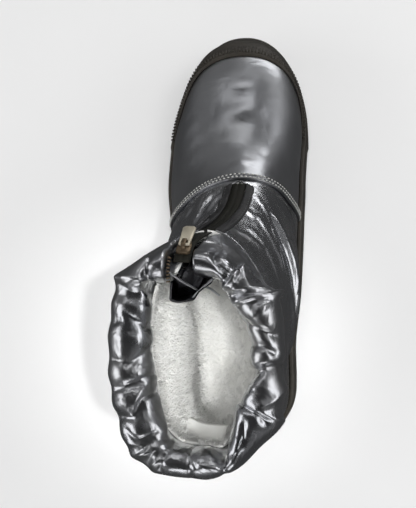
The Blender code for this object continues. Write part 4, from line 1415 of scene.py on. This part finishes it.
def set_growth(made):
    """Thins the strands towards the toe, where nothing looks in, and under the blank tape."""
    x, y, z = read_points(made).T
    shown = 1.0 - smoothstep(*STRANDS_END, x)
    beside = np.abs(y - sum(LABEL_Y) / 2) > (LABEL_Y[1] - LABEL_Y[0]) / 2
    clear = beside | (x > LABEL_X[1] + LABEL_CLEAR) | (z > LABEL_Z[0]) | (z < LABEL_Z[1])
    growth = made.data.attributes.new("growth", "FLOAT", "POINT")
    growth.data.foreach_set("value", (shown * clear).astype(np.float32))


def make_lining():
    """Pile on the walls, which turns into the insole as a soft basin."""
    levels = np.concatenate([np.linspace(0.02, 1.0, LINING_ROWS), [1.0]])
    inner, outer = np.linspace(LINING_END, 0.0, LINING_HALF), np.linspace(0.0, LINING_END, LINING_HALF)[1:]
    grid = []
    for row, level in enumerate(levels):
        line = []
        for side, steps in ((-1.0, inner), (1.0, outer)):
            points = upper_at(side, steps, level)
            normals = upper_normal(np.full(len(steps), side), steps, np.full(len(steps), level))
            if row == len(levels) - 1:
                line.append(points - normals * UPPER_WALL / 2 + np.array([0.0, 0.0, LIP_RISE]))
                continue
            bottom = SOLE["bed"](points[:, 0]) + INSOLE_TOP
            over = points[:, 2] - bottom
            turned = np.clip(1.0 - over / BASIN_RADIUS, 0.0, 1.0)
            basin = BASIN_RADIUS * (1.0 - np.sqrt(1.0 - turned**2)) - BASIN_SLOPE * np.minimum(over, 0.0)
            points = points - normals * LINING_DEPTH * LINING_INWARD
            points = points - normals * basin[:, None] * BASIN_INWARD
            points[:, 2] = np.where(over < 0.0, bottom + BASIN_SLOPE * over, points[:, 2])
            line.append(points)
        grid.append(np.concatenate(line))
    lining = grid_mesh("pile_lining", np.array(grid), PILE)
    face_towards(lining, (120.0, 0.0, 60.0))
    set_growth(lining)
    grow(lining, PILE_STRANDS, PILE_LINING)
    return give(lining, "boot")


def make_collar_pile(grid):
    """Pile that comes up inside the cuff to its inner edge."""
    hub = grid.reshape(-1, 3).mean(axis=0)
    inside = grid[:, round(CUFF_ROUND * COLLAR_FROM) :]
    inward = unit((hub - inside) * np.array([1.0, 1.0, 0.0]))
    pile = grid_mesh("pile_collar", inside + inward * COLLAR_PROUD, PILE)
    face_towards(pile, hub)
    set_growth(pile)
    grow(pile, PILE_STRANDS, PILE_COLLAR)
    return give(pile, "boot")


def make_insole():
    rings = [sole_ring(inset, "bed", over, 0.0, 120) for inset, over in INSOLE_RINGS]
    insole = grid_mesh("pile_insole", np.array(rings), PILE, around=True)
    fill_ends(insole)
    set_growth(insole)
    grow(insole, PILE_STRANDS, PILE_INSOLE)
    return give(insole, "boot", ["insole"])


def make_label():
    """A blank woven tape on the pile inside the heel."""
    steps = np.linspace(0.0, 0.4, 80)
    grid = []
    for way in np.linspace(0.0, 1.0, 8):
        z = LABEL_Z[0] + (LABEL_Z[1] - LABEL_Z[0]) * way
        level = level_where(1.0, 0.0, lambda point: point[2] > z)
        ring = np.concatenate([upper_at(-1.0, steps[::-1], level), upper_at(1.0, steps[1:], level)])
        y = np.linspace(*LABEL_Y, 16)
        bend = np.interp(y, ring[:, 1], ring[:, 0]) - ring[:, 0].min()
        x = LABEL_X[0] + (LABEL_X[1] - LABEL_X[0]) * way + LABEL_BEND * bend
        grid.append(np.stack([x, y, np.full(len(y), z)], axis=1))
    label = grid_mesh("blank_tape", np.array(grid), LABEL)
    thicken(label, LABEL_WALL)
    return give(label, "boot")


# Folds of the gusset: mm across the zip, mm into the boot.
FOLDS = [(7.3, 0.5), (7.8, 8.6), (4.0, 9.8), (-0.6, 9.0), (-3.2, 8.4), (-6.0, 4.5), (-12.0, 0.0)]
# Edges of the gusset that stand up as folds with a painted highlight, and the hem of the panel that hangs
# from the first.
GUSSET_EDGES = [
    [(105.0, 20.0, 176.0), (101.5, 15.0, 173.5), (96.6, 6.8, 171.0)],
    [(92.8, 9.2, 170.5), (96.4, 5.4, 172.5), (102.0, -1.4, 174.5)],
    [(98.4, 3.0, 171.5), (96.6, -0.6, 171.5), (93.8, -3.8, 168.5)],
]
GUSSET_HEM = [(99.0, 20.4, 160.0), (90.8, 19.0, 160.0), (92.6, 9.4, 166.0)]
EDGE_RADIUS = 0.55
EDGE_STEPS = 24
GUSSET_WALL = 0.8
PANEL_WALL = 0.6


def make_gusset():
    """The bellows behind the zip, the panel that hangs in front of it and their folded edges with a painted
    highlight.
    """
    folds = smooth_line(FOLDS, 49)
    grid = []
    for at in np.linspace(0, 1, 40):
        spot, _, across, _ = zip_frame(GUSSET, at)
        opened = GUSSET["open"](at)
        into = np.array([-1.0, 0.0, 0.0])
        grid.append([spot + across * a + into * b * opened for a, b in folds])
    gusset = grid_mesh("folded_gusset", np.array(grid), DARK_NYLON)
    thicken(gusset, GUSSET_WALL)
    give(gusset, "boot", ["gusset"])
    edges = [smooth_line(spots, EDGE_STEPS) for spots in GUSSET_EDGES]
    top, hem = edges[0], smooth_line(GUSSET_HEM, EDGE_STEPS)
    ways = np.linspace(0.0, 1.0, 10)[:, None, None]
    panel = grid_mesh("gusset_panel", top + (hem - top) * ways, DARK_NYLON)
    thicken(panel, PANEL_WALL)
    give(panel, "boot")
    turns = np.linspace(0, 2 * math.pi, 9)[:-1]
    section = [(EDGE_RADIUS * math.cos(turn), EDGE_RADIUS * math.sin(turn)) for turn in turns]
    upward = np.tile((0.0, 0.0, 1.0), (EDGE_STEPS, 1))
    # The folded edges take the cuff's pale nylon instead of the gusset's dark one: a painted highlight.
    for number, line in enumerate(edges, 1):
        edge = ribbon(f"gusset_highlight_edge_{number}", line, upward, section, CUFF_NYLON)
        give(edge, "boot")


# Sewing, ribs and zip pieces

BAND_STITCH_AT = 7.6
BAND_STITCH_OUT = 0.8
RIBS_HEIGHT = 0.84
RIBS_OUT = 2.5
TEETH_LINE = [(112.0, 19.6, 177.5), (107.0, 20.0, 179.0), (100.5, 20.3, 177.0)]
TEETH_OUTWARD = (0.0, -0.5, 0.87)
TEETH_STEPS = 20


def make_seam_stitches():
    """Two rows of light stitches on the instep seam."""
    points, normals = seam_path(SEAM_STEPS)
    across = unit(np.cross(normals, np.gradient(points, axis=0)))
    for name, reach, out in (("front", -1.25, 1.8), ("back", 1.25, 1.75)):
        line = points + across * reach + normals * out
        stitches = row_of(f"seam_stitches_{name}", line, normals, 2.7, (1.8, 0.9, 0.8), THREAD)
        give(stitches, "boot")


def make_band_stitches():
    """A row of stitches down each facing of the zip."""
    for name, side in SIDES.items():
        faces, normals = zip(*(spots[0] for spots in beside_zip(side, 0.995, (BAND_STITCH_AT,))))
        normals = np.array(normals)
        line = np.array(faces) + normals * BAND_STITCH_OUT
        stitches = row_of(f"band_stitches_{name}", line, normals, 2.4, (1.7, 0.45, 0.4), DARK_THREAD)
        give(stitches, "boot")


def make_guard_ribs():
    """Fine ribs under the upper edge of the toe guard."""
    points, normals = [], []
    for side, t, low, high in guard_lines():
        level = np.array(low + (high - low) * RIBS_HEIGHT)
        outward = upper_normal(side, np.array(t), level)
        points.append(upper_at(side, t, level) + outward * RIBS_OUT)
        normals.append(outward)
    line, normals = np.array(points), np.array(normals)
    ribs = row_of("guard_ribs", line, normals, 2.2, (1.0, 4.6, 1.4), RUBBER, boxy=True)
    return give(ribs, "boot")


def rounded_copy(node, name, material, body, radius):
    """A solid of the frame with its edges rounded."""
    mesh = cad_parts[node].data.copy()
    mesh.materials.clear()
    shape = bmesh.new()
    shape.from_mesh(mesh)
    bmesh.ops.remove_doubles(shape, verts=shape.verts, dist=1e-6)
    bmesh.ops.dissolve_limit(shape, angle_limit=math.radians(1.0), verts=shape.verts, edges=shape.edges)
    shape.to_mesh(mesh)
    shape.free()
    made = new_object(name, mesh, material)
    bevel = made.modifiers.new("edges", "BEVEL")
    bevel.width = radius * MM
    bevel.segments = 2
    bevel.limit_method = "ANGLE"
    bake(made)
    return give(made, body, [node])


def make_zip_teeth():
    """Teeth along the outer end of the collar, past the slider."""
    line = smooth_line(TEETH_LINE, TEETH_STEPS)
    normals = np.tile(TEETH_OUTWARD, (TEETH_STEPS, 1))
    teeth = row_of("zip_teeth", line, normals, 1.6, (0.8, 1.8, 0.7), BRONZE, boxy=True)
    give(teeth, "boot")


def make_zip_hardware():
    rounded_copy("zip_slider", "slider_body", BRONZE, "boot", 0.35)
    rounded_copy("zip_pull_tab", "pull_plate", CHAMPAGNE, "pull_tab", 0.22)


make_sole()
make_toe_guard()
make_guard_ribs()
make_upper()
make_instep_seam()
make_seam_stitches()
make_zip_tape()
make_zip_bands()
make_band_stitches()
make_zip_hardware()
make_zip_teeth()
cuff_grid = cuff_sections(CUFF_STEP, CUFF_ROUND)
cuff_grid = gather(cuff_grid)
make_cuff(cuff_grid)
make_collar_pile(cuff_grid)
make_lining()
make_insole()
make_label()
make_gusset()


# Stage, light and camera


FLOOR_HALF = 3.0


def make_floor():
    """Pale paper that the nylon doesn't mirror."""
    mesh = bpy.data.meshes.new("floor")
    corners = [(x * FLOOR_HALF, y * FLOOR_HALF, 0) for x, y in ((-1, -1), (1, -1), (1, 1), (-1, 1))]
    mesh.from_pydata(corners, [], [(0, 1, 2, 3)])
    pale = surface("pale paper", (0.87, 0.87, 0.87), (0.88, 0.88, 0.88), (0.8, 0.9), 3.0, specular=0.1)
    floor = new_object("floor", mesh, pale)
    floor.visible_glossy = False
    floor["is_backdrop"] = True


# Soft boxes: name, degrees round from the toe to the outer side, degrees up, metres away, width, height,
# brightness.
SOFT_BOXES = [
    ("toe box", -22.0, 2.0, 1.5, 1.15, 0.19, 4.9),
    ("toe panel", 2.0, 37.0, 1.5, 0.8, 0.22, 1.9),
    ("outer panel", 38.0, 36.0, 1.5, 0.7, 0.3, 0.9),
    ("inner panel", -42.0, 48.0, 1.5, 1.1, 0.8, 0.15),
    ("outer box", 100.0, 25.0, 1.5, 1.25, 0.8, 1.75),
    ("heel box", 178.0, 22.0, 1.5, 1.1, 0.5, 1.9),
    ("inner box", 276.0, 26.0, 1.5, 1.4, 0.6, 1.9),
]
# Fill lights, which the nylon doesn't mirror: name, place, brightness.
FILLS = [("top fill", (0.03, -0.15, 1.65), 18.0), ("inner fill", (0.02, -0.75, 1.5), 4.6)]
FILL_SIZE = 0.5
# A small fill inside the boot, under the cuff: place and aim in mm, size in metres, brightness.
LINING_FILL = ((76.0, -24.0, 108.0), (46.0, 26.0, 52.0), (0.06, 0.035), 2.4)
# Spots over the opening that reach the pile: name, aim in mm, degrees up on the inner side, watts.
SPOTS = [
    ("insole spot", (60.0, 14.0, 45.0), 79.0, 105.0),
    ("lining spot", (60.0, 28.0, 100.0), 68.0, 120.0),
]
SPOT_AWAY = 1.7
SPOT_DEGREES = 4.5
SPOT_BLEND = 0.7
SPOT_SOFT = 0.08
AIM = Vector((0, 0, 0.08))
SKY_TOP = 0.03
SKY_LOW = 0.17
SKY_UNDER = 0.06
# Heights between which the sky changes, as shares of straight up.
SKY_HIGHS = {"From Min": 0.1, "From Max": 0.8}
SKY_LOWS = {"From Min": -0.3, "From Max": 0.1}


def add_area(name, where, toward, size, brightness):
    light = bpy.data.lights.new(name, "AREA")
    light.shape = "RECTANGLE"
    light.size, light.size_y = size
    light.energy = brightness * math.pi * size[0] * size[1]
    lamp = add_object(name, light)
    lamp.location = where
    lamp.rotation_euler = (Vector(where) - Vector(toward)).to_track_quat("Z", "Y").to_euler()
    return lamp


def make_sky():
    """A room that is dark overhead and paler low down."""
    world = bpy.data.worlds.new("studio")
    world.use_nodes = True
    tree = world.node_tree
    where = result(tree, "ShaderNodeTexCoord", "Generated")
    height = result(tree, "ShaderNodeSeparateXYZ", "Z", {"Vector": where})
    above = ranged(tree, height, {**SKY_HIGHS, "To Min": SKY_LOW, "To Max": SKY_TOP})
    shade = ranged(tree, height, {**SKY_LOWS, "To Min": SKY_UNDER, "To Max": above})
    tree.links.new(shade, tree.nodes["Background"].inputs["Color"])
    bpy.context.scene.world = world


def make_lights():
    """Soft boxes that the nylon mirrors, and fills and spots that it doesn't."""
    for name, turn, up, away, wide, high, bright in SOFT_BOXES:
        turn, up = math.radians(turn), math.radians(up)
        way = Vector((math.cos(turn) * math.cos(up), math.sin(turn) * math.cos(up), math.sin(up)))
        add_area(name, AIM + way * away, AIM, (wide, high), bright)
    for name, where, bright in FILLS:
        fill = add_area(name, where, AIM, (FILL_SIZE, FILL_SIZE), bright)
        fill.visible_glossy = False
    where, aim, size, bright = LINING_FILL
    fill = add_area("lining fill", place(where), place(aim), size, bright)
    fill.visible_glossy = False
    fill.visible_camera = False
    for name, aim, up, watts in SPOTS:
        spot = bpy.data.lights.new(name, "SPOT")
        spot.energy = watts
        spot.spot_size = math.radians(SPOT_DEGREES)
        spot.spot_blend = SPOT_BLEND
        spot.shadow_soft_size = SPOT_SOFT
        lamp = add_object(name, spot)
        up = math.radians(up)
        way = Vector((0.0, -math.cos(up), math.sin(up)))
        lamp.location = Vector(place(aim)) + way * SPOT_AWAY
        lamp.rotation_euler = way.to_track_quat("Z", "Y").to_euler()
        lamp.visible_glossy = False
    make_sky()
    bpy.context.scene.view_settings.view_transform = "Standard"


CAMERA_AT = (88.7, -51.0, 525.0)
CAMERA_FOCUS = (122.5, 212.5)
PHOTO_FOCAL = 575.0
PHOTO_CENTRE = (208.0, 254.0)
PHOTO_HIGH = 508.0
CLOSER = 1.27


def make_camera():
    """At the photo's own viewpoint, turned to the boot and closer in."""
    data = bpy.data.cameras.new("camera")
    data.sensor_width = 36.0
    data.lens = PHOTO_FOCAL * CLOSER / PHOTO_HIGH * data.sensor_width
    camera = add_object("camera", data)
    right = (CAMERA_FOCUS[0] - PHOTO_CENTRE[0]) / PHOTO_FOCAL
    up = (PHOTO_CENTRE[1] - CAMERA_FOCUS[1]) / PHOTO_FOCAL
    level = Matrix(((0, 1, 0), (-1, 0, 0), (0, 0, 1)))
    aim = level @ Vector((right, up, -1.0))
    turn = Vector((0, 0, -1)).rotation_difference(aim)
    turned = turn.to_matrix().to_4x4() @ level.to_4x4()
    camera.matrix_world = Matrix.Translation(Vector(place(CAMERA_AT))) @ turned
    bpy.context.scene.camera = camera


make_floor()
make_lights()
make_camera()

boxes = {"cad": CAD_BOX, "visual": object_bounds()}
{name: [list(corner) for corner in box] for name, box in boxes.items()}
